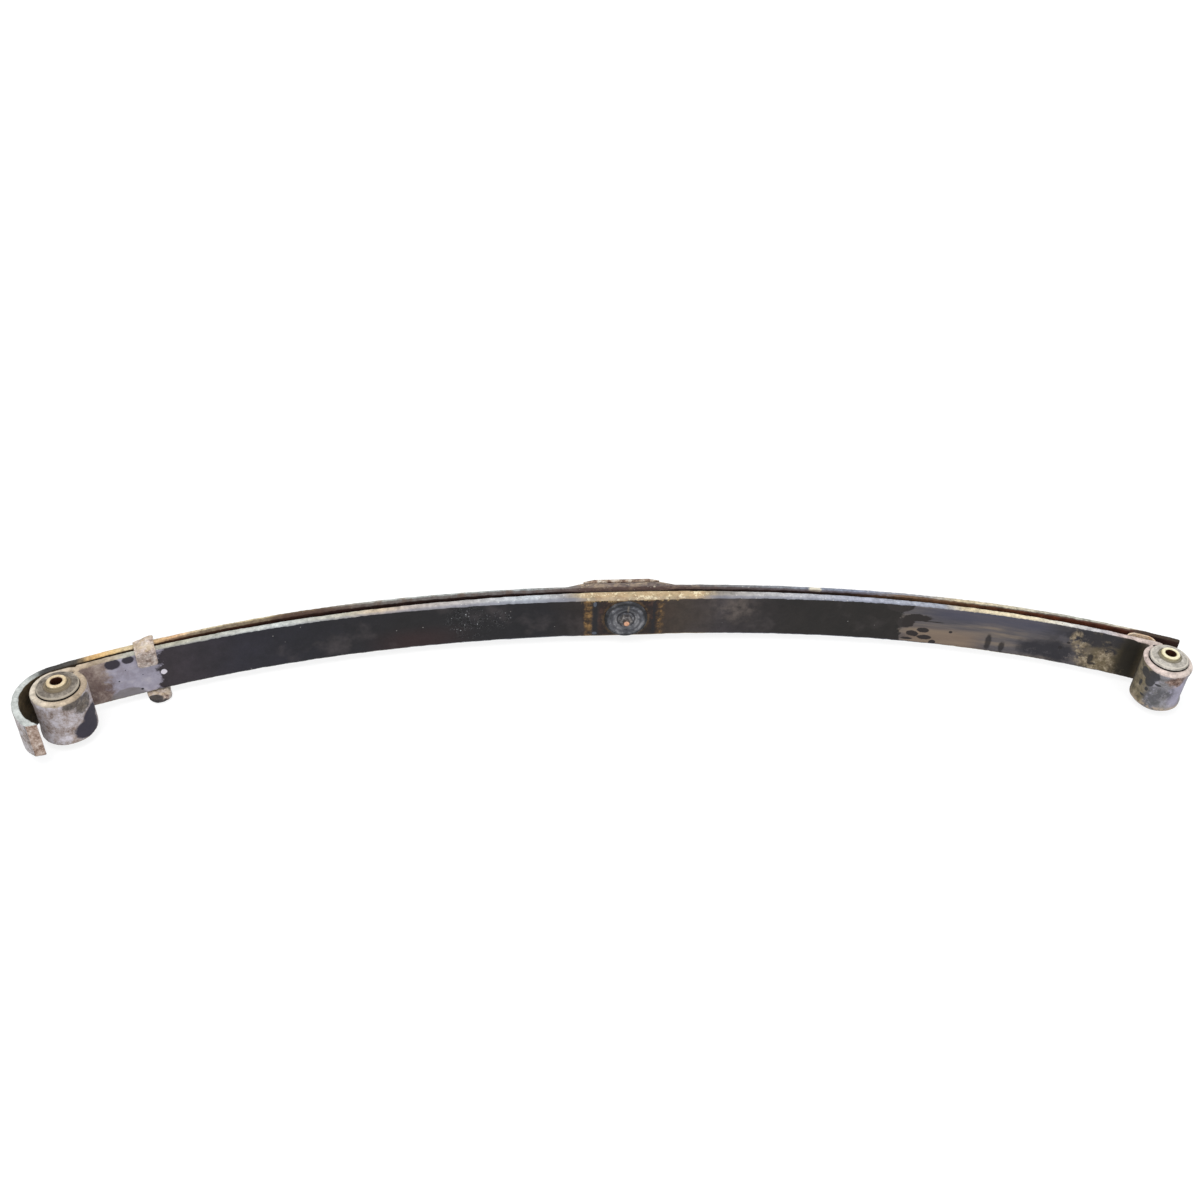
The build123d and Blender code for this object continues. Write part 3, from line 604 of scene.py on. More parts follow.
    # Painted shade: bluish grey over the front of the rounded edge and brownish along its back, so that its
    # middle reads as lit; less where mud is caked in the middle and on the right arm
    caked_middle = p.band(p.x, -0.06, 0.11, 0.015)
    edge_front_shade = p.both(p.step(across, 0.0005, -0.0045), p.band(p.x, -0.64, 0.66, 0.03))
    edge_front_shade = p.sum("SUBTRACT", edge_front_shade, p.sum("MULTIPLY", caked_middle, 0.75), clamp=True)
    edge_front_shade = p.sum("MULTIPLY", edge_front_shade, p.nudge(0.66, p.step(p.x, 0.4, 0.46), -0.3))
    edge_back_shade = p.both(p.step(across, 0.0072, 0.0092), p.band(p.x, -0.64, 0.66, 0.03))
    edge_dark = p.both(p.specks(95.0, 0.16, shift=3.0), p.step(ragged, 0.5, 0.62))
    edge_light = p.specks(150.0, 0.14, shift=5.0)
    edge_colour = p.layers(
        edge_colour,
        (centre_mud, 0.7, (192, 166, 130)),
        (brown, 0.6, (146, 116, 84)),
        (gold, 0.8, (236, 222, 186)),
        (edge_front_shade, (116, 118, 132)),
        (edge_back_shade, 0.5, (124, 100, 78)),
        (edge_dark, 0.6, (92, 78, 64)),
        (edge_light, 0.5, (240, 236, 224)),
    )
    # Painted shade round the mouth of each eye bore, in the narrow gap beside the bush
    for side in SIDES:
        mouth_shade = p.step(p.reach(EYES[side]), EYE_BORE + 0.0016, EYE_BORE + 0.0008)
        edge_colour = p.tint(edge_colour, mouth_shade, 0.9, (34, 28, 26))
    upright = p.sum("ABSOLUTE", p.nz)
    rolled = p.both(p.any(p.step(p.x, -0.69, -0.702), p.step(p.x, 0.69, 0.7)), p.step(p.z, 0.0265, 0.029))
    upright = p.nudge(upright, rolled, 0.22)
    upright = p.nudge(upright, ragged, 0.36)
    edge = p.step(upright, 0.46, 0.62)
    colour = p.mix(edge, face, edge_colour)

    height = p.nudge(ragged, p.noise(420.0, 4.0, 0.6, shift=1.0), 0.5)
    height = p.nudge(height, paint_splashes, 0.5)
    height = p.nudge(height, bare, -0.3)
    height = p.nudge(height, dark_pits, -1.5)
    rough = p.nudge(0.42, fine, 0.25)
    rough = p.sum("MAXIMUM", rough, p.sum("MULTIPLY", p.any(edge, dust, bare), 0.72))
    return p.finish(colour, rough, 0.00045, height, specular=0.28)


# ---------------------------------------------------------------- second leaf
def second_leaf_material():
    p = Paint("second_leaf_worn_paint")
    fine = p.noise(240.0, 5.0, 0.7, shift=2.0)
    ragged = p.noise(95.0, 4.0, 0.65, shift=7.7)

    outside = p.ramp_along([
        (-0.8, (150, 144, 150)), (-0.7, (104, 98, 98)), (-0.55, (66, 60, 58)), (-0.2, (58, 54, 54)),
        (0.1, (66, 56, 50)), (0.4, (70, 62, 56)), (0.62, (92, 78, 62)), (0.78, (70, 54, 42)),
    ], wander=0.04)
    outside = p.grime(outside, 0.4, 60.0, shift=1.0)
    dusty = p.patches(20.0, 5.0, 0.65, 4.0, 0.48, 0.7)
    outside = p.tint(outside, dusty, 0.5, (126, 108, 86))

    inside = p.ramp_along([
        (-0.8, (92, 80, 58)), (-0.7, (70, 58, 42)), (-0.6, (82, 50, 30)), (-0.4, (52, 30, 24)),
        (-0.1, (44, 28, 24)), (0.3, (56, 40, 36)), (0.42, (112, 82, 58)), (0.6, (108, 56, 32)),
        (0.69, (88, 44, 27)), (0.72, (54, 30, 23)), (0.78, (46, 28, 22)),
    ], wander=0.03)
    inside = p.grime(inside, 0.45, 70.0, shift=3.0)

    # The wrap: primer with brown speckles outside, dark and oily inside
    wrap = p.any(p.step(p.x, -0.742, -0.752), p.step(p.y, -0.205, -0.22))
    away = p.vector("SUBTRACT", p.place, tuple(EYES["left"]))
    wrap_outer = p.mottle(75.0, 7.0, 0.8, 17.0, [
        (0.38, (136, 118, 106)), (0.46, (188, 176, 170)), (0.56, (226, 220, 222)), (0.74, (242, 238, 242)),
    ])
    speckle = p.both(p.specks(170.0, 0.24, shift=6.0), p.step(ragged, 0.42, 0.6))
    wrap_inner = p.grime((98, 84, 62), 0.5, 80.0, shift=9.0)
    toward = p.sum(
        "ADD", p.sum("MULTIPLY", p.nx, p.split(away)[0]), p.sum("MULTIPLY", p.ny, p.split(away)[1])
    )
    wrap_outer = p.tint(wrap_outer, speckle, 0.75, (112, 86, 66))
    wrap_colour = p.mix(p.step(toward, 0.005, -0.005), wrap_outer, wrap_inner)
    turn_x, turn_y = math.cos(WRAP_CUT_TURN), math.sin(WRAP_CUT_TURN)
    facing = p.sum("ADD", p.sum("MULTIPLY", p.nx, turn_x), p.sum("MULTIPLY", p.ny, turn_y))
    cut_end = p.both(p.step(p.y, -0.245, -0.2465), p.step(facing, 0.7, 0.88))
    cut_colour = p.mottle(120.0, 6.0, 0.8, 8.0, [
        (0.38, (104, 82, 70)), (0.48, (172, 146, 130)), (0.57, (214, 194, 180)), (0.68, (244, 234, 226)),
    ])
    from_middle = p.vector("SUBTRACT", p.place, tuple(WRAP_MIDDLE))
    turned = p.sum("ARCTAN2", p.split(from_middle)[1], p.split(from_middle)[0])
    cut_turn = WRAP_END - WRAP_SKEW - math.tau
    cut_line = p.band(p.nudge(turned, ragged, 0.05), cut_turn - 0.035, cut_turn + 0.03, 0.02)
    cut_line = p.both(cut_line, p.step(p.y, -0.24, -0.242), p.step(facing, 0.75, 0.6))
    face = p.mix(p.step(p.ny, 0.2, -0.2), outside, inside)
    wrap_colour = p.layers(wrap_colour, (cut_end, cut_colour), (cut_line, 0.8, (58, 44, 40)))
    face = p.mix(wrap, face, wrap_colour)

    edge_colour = p.ramp_along([
        (-0.79, (196, 200, 196)), (-0.762, (176, 180, 176)), (-0.752, (70, 70, 70)), (-0.716, (82, 78, 72)),
        (-0.706, (196, 166, 122)), (-0.694, (246, 200, 136)), (-0.672, (240, 208, 152)),
        (-0.655, (232, 212, 172)), (-0.62, (246, 206, 154)), (-0.6, (252, 204, 158)),
        (-0.57, (252, 234, 194)), (-0.488, (232, 214, 170)), (-0.466, (128, 106, 82)),
        (-0.415, (112, 94, 76)), (-0.378, (170, 162, 150)), (-0.33, (192, 196, 190)),
        (-0.13, (184, 190, 190)), (-0.06, (128, 112, 104)), (0.075, (122, 108, 104)),
        (0.12, (126, 124, 124)), (0.23, (150, 154, 162)), (0.33, (154, 162, 184)), (0.43, (186, 184, 184)),
        (0.47, (238, 220, 184)), (0.56, (236, 226, 200)), (0.6, (206, 202, 186)), (0.64, (202, 202, 188)),
        (0.69, (224, 212, 190)), (0.72, (226, 200, 166)), (0.76, (236, 212, 180)),
    ], wander=0.01, scale=34.0)
    edge_colour = p.grime(edge_colour, 0.42, 150.0, shift=6.0)
    wrap_edge = p.both(wrap, p.step(p.y, -0.165, -0.18))
    caked = p.both(p.band(p.x, -0.6, -0.1, 0.05), p.patches(70.0, 4.0, 0.7, 19.0, 0.52, 0.62))
    sand = p.both(p.band(p.x, -0.07, 0.13, 0.02), p.patches(75.0, 5.0, 0.7, 14.0, 0.5, 0.62))
    tan_streaks = p.both(
        p.band(p.x, -0.07, 0.1, 0.01), p.step(p.noise(120.0, 5.0, 0.75, (0.5, 2.5, 1.0), 2.4), 0.54, 0.62)
    )
    white_spot = p.any(
        p.blob((0.0415, -0.02, 0.035), (0.0016, 0.0016, 0.004), ragged, 0.5),
        p.blob((0.27, -0.038, 0.035), (0.01, 0.014, 0.004), ragged, 0.9),
    )
    bright = p.specks(140.0, 0.13, shift=8.0)
    edge_colour = p.layers(
        edge_colour,
        (wrap_edge, p.grime((214, 218, 214), 0.3, 160.0, shift=4.0)),
        (caked, 0.5, (132, 108, 82)),
        (sand, 0.55, (164, 144, 122)),
        (tan_streaks, 0.6, (198, 176, 146)),
        (white_spot, 0.85, (226, 218, 196)),
        (bright, 0.5, (236, 230, 214)),
    )
    # Painted shade with rust on the right arm: only the back of the edge stays bright, and its front half
    # is painted dark as shade, then rusty; further left, a reddish painted shade darkens the front of the
    # edge beside the gap between the leaves
    across = p.sum("SUBTRACT", p.y, p.polynomial(p.x, edge_curve("second_leaf")))
    across = p.nudge(across, ragged, 0.003)
    limit = p.nudge(across, p.step(p.x, 0.41, 0.46), 0.002)
    limit = p.nudge(limit, p.step(p.x, 0.555, 0.595), -0.0012)
    limit = p.nudge(limit, p.step(p.x, 0.69, 0.715), -0.0036)
    front_half = p.both(p.step(limit, 0.0012, -0.0008), p.step(p.x, 0.33, 0.4))
    front_shade_and_rust = p.ramp_along([
        (0.32, (88, 80, 78)), (0.38, (128, 98, 70)), (0.46, (116, 88, 62)), (0.5, (84, 78, 74)),
        (0.58, (80, 66, 58)), (0.64, (98, 54, 34)), (0.69, (80, 42, 28)), (0.72, (46, 27, 22)),
        (0.8, (38, 24, 20)),
    ], wander=0.015)
    red_gap = p.nudge(across, p.band(p.x, -0.58, -0.16, 0.04), -0.002)
    shaded_front = p.both(p.step(red_gap, 0.0012, -0.0022), p.band(p.x, -0.62, 0.36, 0.03))
    upright = p.nudge(p.sum("ABSOLUTE", p.nz), ragged, 0.34)
    back_rim = p.both(p.step(p.ny, 0.0, 0.3), p.step(p.sum("ABSOLUTE", p.nz), 0.22, 0.34))
    upright = p.nudge(upright, back_rim, 0.3)
    edge = p.step(upright, 0.44, 0.62)
    edge_colour = p.layers(
        edge_colour,
        (front_half, 0.95, p.grime(front_shade_and_rust, 0.4, 120.0, shift=7.0)),
        (shaded_front, 0.75, (58, 36, 32)),
    )
    colour = p.mix(edge, face, edge_colour)

    height = p.nudge(ragged, p.noise(380.0, 4.0, 0.6, shift=2.0), 0.6)
    height = p.nudge(height, caked, 0.6)
    rough = p.nudge(0.58, fine, 0.25)
    return p.finish(colour, rough, 0.0005, height, specular=0.25)


# ---------------------------------------------------------------- smaller materials
def rusty_material(name, stops, scale=70.0, bump=0.0004, fleck=None, rough=0.62):
    """Mottled rust, dust and old paint in the given colours, dark to light."""
    p = Paint(name)
    value = p.noise(scale, 7.0, 0.72, shift=len(name) * 0.37)
    colour = p.ramp(value, stops)
    colour = p.grime(colour, 0.35, scale * 3.1, shift=len(name) * 0.11)
    ragged = p.noise(scale * 1.7, 4.0, 0.65, shift=2.9)
    if fleck:
        flecks = p.both(p.specks(scale * 2.6, 0.22, shift=1.1), p.step(ragged, 0.48, 0.62))
        colour = p.tint(colour, flecks, 0.8, fleck)
    height = p.nudge(value, p.noise(scale * 6, 4.0, 0.6), 0.5)
    roughness = p.nudge(rough, ragged, 0.2)
    return p.finish(colour, roughness, bump, height)


def turned_paint(name, centre, stops, scale, rings, rough, flat):
    """A mottled surface with turned rings, of (radius, half width, colour), in the plane `flat`."""
    p = Paint(name)
    reach = p.reach(centre, flat)
    value = p.noise(scale, 6.0, 0.72, shift=len(name) * 0.29)
    colour = p.ramp(value, stops)
    colour = p.grime(colour, 0.3, scale * 3.3, shift=1.3)
    wander = p.nudge(reach, p.noise(scale * 1.5, 3.0, 0.6, shift=4.4), 0.0012)
    wander = p.sum("SUBTRACT", wander, 0.0006)
    for radius, half, tint in rings:
        mask = p.band(wander, radius - half, radius + half, half * 0.7)
        colour = p.tint(colour, mask, 0.8, tint)
    turned = p.sum("SINE", p.sum("MULTIPLY", reach, TOOL_MARKS))
    height = p.nudge(value, turned, 0.12)
    height = p.nudge(height, p.noise(scale * 7, 3.0, 0.6), 0.5)
    roughness = p.nudge(rough - 0.1, value, 0.25)
    return p, colour, roughness, height


def clip_material():
    """Dried mud over the clip, with painted shade on the front of its ear below the leaf."""
    p = Paint("clip_muddy")
    ragged = p.noise(150.0, 5.0, 0.7, shift=2.9)
    value = p.noise(95.0, 7.0, 0.75, shift=1.4)
    colour = p.ramp(value, [
        (0.36, (138, 114, 102)), (0.45, (200, 180, 168)), (0.54, (236, 220, 210)), (0.66, (253, 244, 238)),
    ])
    colour = p.grime(colour, 0.28, 260.0, shift=0.6)
    cracks = p.band(p.noise(60.0, 3.0, 0.6, shift=8.2, warp=1.5), 0.49, 0.51, 0.03)
    sandy = p.both(p.step(p.nz, 0.45, 0.75), p.step(ragged, 0.42, 0.58))
    ear_x = (clip_low.x + clip_high.x) / 2 + CLIP_EAR_SHIFT.x
    leaf_y = sum(c * ear_x**power for power, c in enumerate(reversed(edge_curve("main_leaf"))))
    # Painted shade on the ear below the leaf: its front, and surfaces that face down or sideways in front
    # of the leaf
    ear = p.blob((ear_x + 0.001, leaf_y - 0.0165, 0.0), (0.01, 0.0055, THROUGH), ragged, 0.5, 0.15)
    ear = p.any(ear, p.both(p.step(p.nz, 0.5, 0.0), p.step(p.y, leaf_y - 0.013, leaf_y - 0.016)))
    ear = p.both(ear, p.step(p.z, -0.0335, -0.035))
    height = p.nudge(value, p.noise(420.0, 4.0, 0.6), 0.5)
    height = p.nudge(height, cracks, -0.5)
    rough = p.nudge(0.68, ragged, 0.2)
    colour = p.layers(
        colour, (cracks, 0.5, (128, 106, 90)), (sandy, 0.5, (206, 186, 150)), (ear, 0.92, (54, 52, 54))
    )
    return p.finish(colour, rough, 0.0008, height, specular=0.25)


# ---------------------------------------------------------------- detailed meshes
def mesh_piece(name, vertices, faces, material, angle):
    mesh = bpy.data.meshes.new(name)
    mesh.from_pydata(vertices, [], faces)
    mesh.validate()
    mesh.update()
    piece = bpy.data.objects.new(name, mesh)
    scene.collection.objects.link(piece)
    smooth(piece, angle)
    wear(piece, material)
    return piece


def lathe(name, centre, profile, material):
    """Turns a closed profile of (radius, height) points about the Z axis through `centre`."""
    steps = 96
    vertices = []
    for step in range(steps):
        turn = math.tau * step / steps
        for radius, height in profile:
            offset = Vector((radius * math.cos(turn), radius * math.sin(turn), height))
            vertices.append(tuple(centre + offset))
    faces = []
    count = len(profile)
    for step in range(steps):
        ahead = (step + 1) % steps
        for index in range(count):
            after = (index + 1) % count
            here, there = step * count, ahead * count
            faces.append((here + index, there + index, there + after, here + after))
    return mesh_piece(name, vertices, faces, material, 50)


def threaded_bolt(name, material):
    """The centre bolt with a real helical thread on its lower half."""
    bolt_low, bolt_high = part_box("centre_bolt")
    steps = 72
    radius = 0.005
    pitch = 0.0015
    depth = 0.0009
    tip = bolt_low.y
    collar_radius = (bolt_high.x - bolt_low.x) / 2
    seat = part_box("axle_spacer")[0].y
    top = bolt_high.y
    dowel = 0.01
    chamfer = 0.0012
    rows = []
    thread_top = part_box("cup_washer")[1].y + 0.006
    count = int((thread_top - tip) / (pitch / 6))
    for index in range(count + 1):
        y = tip + (thread_top - tip) * index / count
        rows.append((y, "thread"))
    for y, r in (
        (thread_top + 0.0002, radius), (seat, radius), (seat, collar_radius - 0.0003),
        (seat + 0.0003, collar_radius), (-0.0004, collar_radius), (0.0, collar_radius - 0.0004),
        (0.0, dowel), (top - chamfer, dowel), (top, dowel - chamfer), (top, 0.0015),
    ):
        rows.append((y, r))
    vertices = [(0.0, tip, 0.0)]
    for y, kind in rows:
        for step in range(steps):
            turn = math.tau * step / steps
            if kind == "thread":
                phase = (y / pitch - step / steps) % 1.0
                cut = depth * (1 - abs(2 * phase - 1))
                taper = max(0.0, 0.0012 - (y - tip)) * 0.8
                r = radius - min(cut * 1.1, depth) - taper
            else:
                r = kind
            vertices.append((r * math.cos(turn), y, r * math.sin(turn)))
    last = len(vertices)
    vertices.append((0.0, top, 0.0))
    faces = []
    for step in range(steps):
        ahead = (step + 1) % steps
        faces.append((0, 1 + step, 1 + ahead))
        faces.append((last, last - steps + ahead, last - steps + step))
    for row in range(len(rows) - 1):
        base = 1 + row * steps
        for step in range(steps):
            ahead = (step + 1) % steps
            faces.append((base + step, base + steps + step, base + steps + ahead, base + ahead))
    return mesh_piece(name, vertices, faces, material, 35)


def rough_copy(name, node, voxel, material, lumps, depth, seed, soften=0, shape=None, calm=None):
    """A remeshed copy of a CAD node with worn edges and a surface sunk unevenly by up to `depth`.

    `shape` gives a point's new place, and `calm` the share of the unevenness that it takes.
    """
    mesh = nodes[node].data.copy()
    mesh.name = name
    piece = bpy.data.objects.new(name, mesh)
    scene.collection.objects.link(piece)
    remesh = piece.modifiers.new("remesh", "REMESH")
    remesh.mode = "VOXEL"
    remesh.voxel_size = voxel
    if soften:
        blur = piece.modifiers.new("soften", "SMOOTH")
        blur.factor = 0.5
        blur.iterations = soften
    bpy.context.view_layer.update()
    depsgraph = bpy.context.evaluated_depsgraph_get()
    mesh = bpy.data.meshes.new_from_object(piece.evaluated_get(depsgraph))
    piece.modifiers.clear()
    piece.data = mesh
    shift = Vector((seed, seed * 2.0, seed * 3.0))
    places = []
    for vertex in mesh.vertices:
        rise = noise.fractal(vertex.co * lumps + shift, 0.8, 2.1, 4)
        rise = min(max(0.5 + 0.5 * rise, 0.0), 1.0)
        share = calm(vertex.co) if calm else 1.0
        place = shape(vertex.co) if shape else vertex.co
        places.append(place - vertex.normal * (depth * rise * share))
    for vertex, place in zip(mesh.vertices, places):
        vertex.co = place
    mesh.update()
    smooth(piece, 60)
    wear(piece, material)
    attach(piece, "spring")
    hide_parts(node)
    return piece


def eased(value, low, high):
    """0 below `low`, 1 above `high`, smooth between."""
    share = min(max((value - low) / (high - low), 0.0), 1.0)
    return share * share * (3 - 2 * share)


def rounded(out, up, radius):
    """A corner's depth past its two round starts, brought back onto an arc of `radius`."""
    reach = math.hypot(out, up)
    if out <= 0 or up <= 0 or reach <= radius:
        return out, up
    return out * radius / reach, up * radius / reach


def round_eye_rims(place):
    """Rounds the outer and inner rims of both eyes, as rolling and wear leave them."""
    half_width = main_high.z
    for side in SIDES:
        centre = EYES[side]
        x, y = place.x - centre.x, place.y - centre.y
        reach = math.hypot(x, y)
        outside = EYE_RADIUS[side]
        if reach > outside + 0.0008 or reach < EYE_BORE - 0.0008:
            continue
        inward = x if side == "left" else -x
        on_leaf = eased(inward, 0.004, 0.02) * eased(y, -0.006, 0.012)
        radius = RIM_ROUND[side] * (1 - 0.6 * on_leaf)
        up = abs(place.z) - (half_width - radius)
        out, up = rounded(reach - (outside - radius), up, radius)
        new_reach, new_up = outside - radius + out, half_width - radius + up
        up = new_up - (half_width - MOUTH_ROUND)
        out, up = rounded(EYE_BORE + MOUTH_ROUND - new_reach, up, MOUTH_ROUND)
        new_reach, new_up = EYE_BORE + MOUTH_ROUND - out, half_width - MOUTH_ROUND + up
        waist = 1 - eased(new_up, 0.019, 0.027)
        waist *= (1 - on_leaf) * eased(new_reach, EYE_BORE + 0.004, outside)
        new_reach -= BARREL_WAIST[side] * waist
        new_x = centre.x + x * new_reach / reach
        new_y = centre.y + y * new_reach / reach
        return Vector((new_x, new_y, math.copysign(new_up, place.z)))
    return place


def main_leaf_calm(place):
    """No unevenness in the eye bores or where the washer and the liner lie."""
    share = eased(abs(place.x), 0.034, 0.06)
    for side in SIDES:
        reach = math.hypot(place.x - EYES[side].x, place.y - EYES[side].y)
        share *= eased(reach, EYE_BORE + 0.0005, EYE_BORE + 0.004)
    return share


def skew_wrap_end(place):
    """Cuts the wrap's end on the skew, so that its cut face shows from the front."""
    x, y = place.x - WRAP_MIDDLE.x, place.y - WRAP_MIDDLE.y
    reach = math.hypot(x, y)
    turn = math.atan2(y, x) % math.tau
    if reach > WRAP_OUTER + 0.004 or turn < WRAP_SKEW_START or x > 0:
        return place
    share = (reach - WRAP_INNER) / (WRAP_OUTER - WRAP_INNER)
    end = WRAP_END + WRAP_LENGTHEN - (WRAP_SKEW + WRAP_LENGTHEN) * share
    past = turn - WRAP_SKEW_START
    turn = WRAP_SKEW_START + past * (end - WRAP_SKEW_START) / (WRAP_END - WRAP_SKEW_START)
    return Vector((WRAP_MIDDLE.x + reach * math.cos(turn), WRAP_MIDDLE.y + reach * math.sin(turn), place.z))


def second_leaf_calm(place):
    return eased(abs(place.x), 0.045, 0.075)


def shape_clip(place):
    """Moves the clip's ear towards the centre, widens and thickens it, and rounds the mud behind."""
    under = main_low.z - 0.0005
    share = eased(under - place.z, -0.004, 0.004)
    widen = (place.x - (clip_low.x + clip_high.x) / 2) * 0.14
    moved = place + (CLIP_EAR_SHIFT + Vector((widen, widen * 0.3, 0.0))) * share
    if place.z < under:
        moved.z = under - (under - place.z) * 1.85
    along = (place.x - clip_low.x) / (clip_high.x - clip_low.x)
    moved.z -= 0.0055 * (1 - eased(along, 0.0, 0.55)) * eased(place.z, 0.03, 0.041)
    return moved


# ---------------------------------------------------------------- pieces
rough_copy(
    "main_leaf_worn", "main_leaf", 0.002, main_leaf_material(),
    lumps=55.0, depth=0.0008, seed=1.0, shape=round_eye_rims, calm=main_leaf_calm,
)
rough_copy(
    "second_leaf_worn", "second_leaf", 0.002, second_leaf_material(),
    lumps=60.0, depth=0.0008, seed=2.0, shape=skew_wrap_end, calm=second_leaf_calm,
)
wear(nodes["interleaf_liner"], rusty_material("liner_dirty", [(0.3, (34, 28, 26)), (0.7, (70, 56, 44))]))
wear(
    nodes["axle_spacer"],
    rusty_material("spacer_rust", [
        (0.36, (74, 50, 42)), (0.44, (130, 102, 86)), (0.52, (188, 166, 144)), (0.62, (240, 230, 216)),
    ], scale=110.0, bump=0.0007, fleck=(230, 224, 212)),
)
wear(nodes["left_tip_pad"], rusty_material("left_pad_dirty", [(0.35, (40, 32, 28)), (0.65, (84, 62, 44))]))
wear(
    nodes["right_tip_pad"],
    rusty_material("right_pad_rust_tint", [
        (0.34, (232, 190, 150)), (0.5, (253, 226, 194)), (0.66, (255, 242, 222)),
    ], scale=120.0, rough=0.45),
)
RIVET = rusty_material("rivet_dull", [
    (0.34, (58, 50, 44)), (0.55, (96, 84, 72)), (0.72, (132, 116, 96)),
], scale=120.0)
for name in ("clip_rivet", "right_pad_rivet"):
    wear(nodes[name], RIVET)


def shell_material(side, stops):
    """Dusty where the shell stands proud, with painted shade, near black, in the seam between it and the
    eye.
    """
    p = Paint(f"{side}_shell_dull")
    value = p.noise(110.0, 6.0, 0.72, shift=3.3)
    colour = p.ramp(value, stops)
    proud = p.sum("SUBTRACT", p.sum("ABSOLUTE", p.z), main_high.z)
    # Painted shade on the foot of the shell, where it stands in the eye
    seam = p.step(proud, 0.0015, 0.0008)
    colour = p.mix(seam, colour, (24, 21, 20))
    return p.finish(colour, p.nudge(0.6, value, 0.2), 0.0002, value)


for side, stops in (
    ("left", [(0.34, (92, 84, 74)), (0.52, (134, 124, 110)), (0.7, (172, 160, 142))]),
    ("right", [(0.34, (150, 144, 134)), (0.52, (188, 182, 172)), (0.7, (214, 206, 196))]),
):
    wear(nodes[f"{side}_bush_shell"], shell_material(side, stops))


def cup_material():
    """Grey scuffed dish with turned swirls inside a ring of glossy black paint."""
    p, colour, rough, height = turned_paint(
        "cup_worn_paint",
        middle("cup_washer"),
        [(0.38, (68, 69, 73)), (0.5, (112, 113, 119)), (0.62, (172, 171, 174))],
        scale=60.0,
        rings=(
            (0.0284, 0.0021, (7, 7, 10)), (0.0205, 0.0014, (72, 72, 76)), (0.016, 0.0008, (112, 111, 113)),
            (0.0122, 0.0014, (40, 39, 41)),
        ),
        rough=0.52,
        flat=ABOUT_Y,
    )
    scratch = p.both(p.band(p.x, 0.0015, 0.0035, 0.0012), p.band(p.z, 0.012, 0.024, 0.003))
    scratch = p.broken(scratch, 200.0, 0.35, 0.5, 1.0)
    colour = p.tint(colour, scratch, 0.6, (168, 156, 140))
    return p.finish(colour, rough, 0.0002, height, specular=0.25)


wear(nodes["cup_washer"], cup_material())


def nut_material():
    """Dark nut with bright worn edges."""
    p = Paint("nut_worn")
    value = p.noise(160.0, 6.0, 0.75, shift=1.9)
    colour = p.ramp(value, [(0.36, (54, 52, 54)), (0.5, (96, 92, 92)), (0.64, (150, 145, 142))])
    reach = p.reach(middle("centre_nut"), ABOUT_Y)
    front = p.step(p.ny, -0.8, -0.95)
    worn = p.both(front, p.step(reach, 0.0072, 0.0082), p.step(value, 0.34, 0.5))
    height = p.nudge(value, p.noise(600.0, 3.0, 0.6), 0.5)
    colour = p.tint(colour, worn, 0.7, (170, 166, 162))
    return p.finish(colour, p.nudge(0.3, value, 0.3), 0.0002, height, specular=0.45)


wear(nodes["centre_nut"], nut_material())


def bolt_material():
    """Oily dark thread, bright rust on the middle of the end."""
    p = Paint("bolt_rust_tint")
    value = p.noise(170.0, 6.0, 0.72, shift=4.1)
    colour = p.ramp(value, [(0.34, (46, 40, 38)), (0.52, (74, 64, 58)), (0.68, (112, 98, 88))])
    reach = p.reach(middle("centre_bolt"), ABOUT_Y)
    copper = p.ramp(value, [(0.36, (170, 108, 78)), (0.5, (226, 164, 128)), (0.64, (248, 210, 182))])
    tip = p.both(p.step(p.ny, -0.35, -0.6), p.step(p.nudge(reach, value, 0.001), 0.0046, 0.004))
    height = p.nudge(value, p.noise(700.0, 3.0, 0.6), 0.5)
    colour = p.mix(tip, colour, copper)
    return p.finish(colour, p.nudge(0.4, value, 0.2), 0.0002, height, specular=0.35)


bolt = threaded_bolt("centre_bolt_threaded", bolt_material())
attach(bolt, "spring")
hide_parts("centre_bolt")
rough_copy(
    "rebound_clip_muddy", "rebound_clip", 0.0011, clip_material(),
    lumps=130.0, depth=0.0016, seed=3.0, soften=8, shape=shape_clip,
)


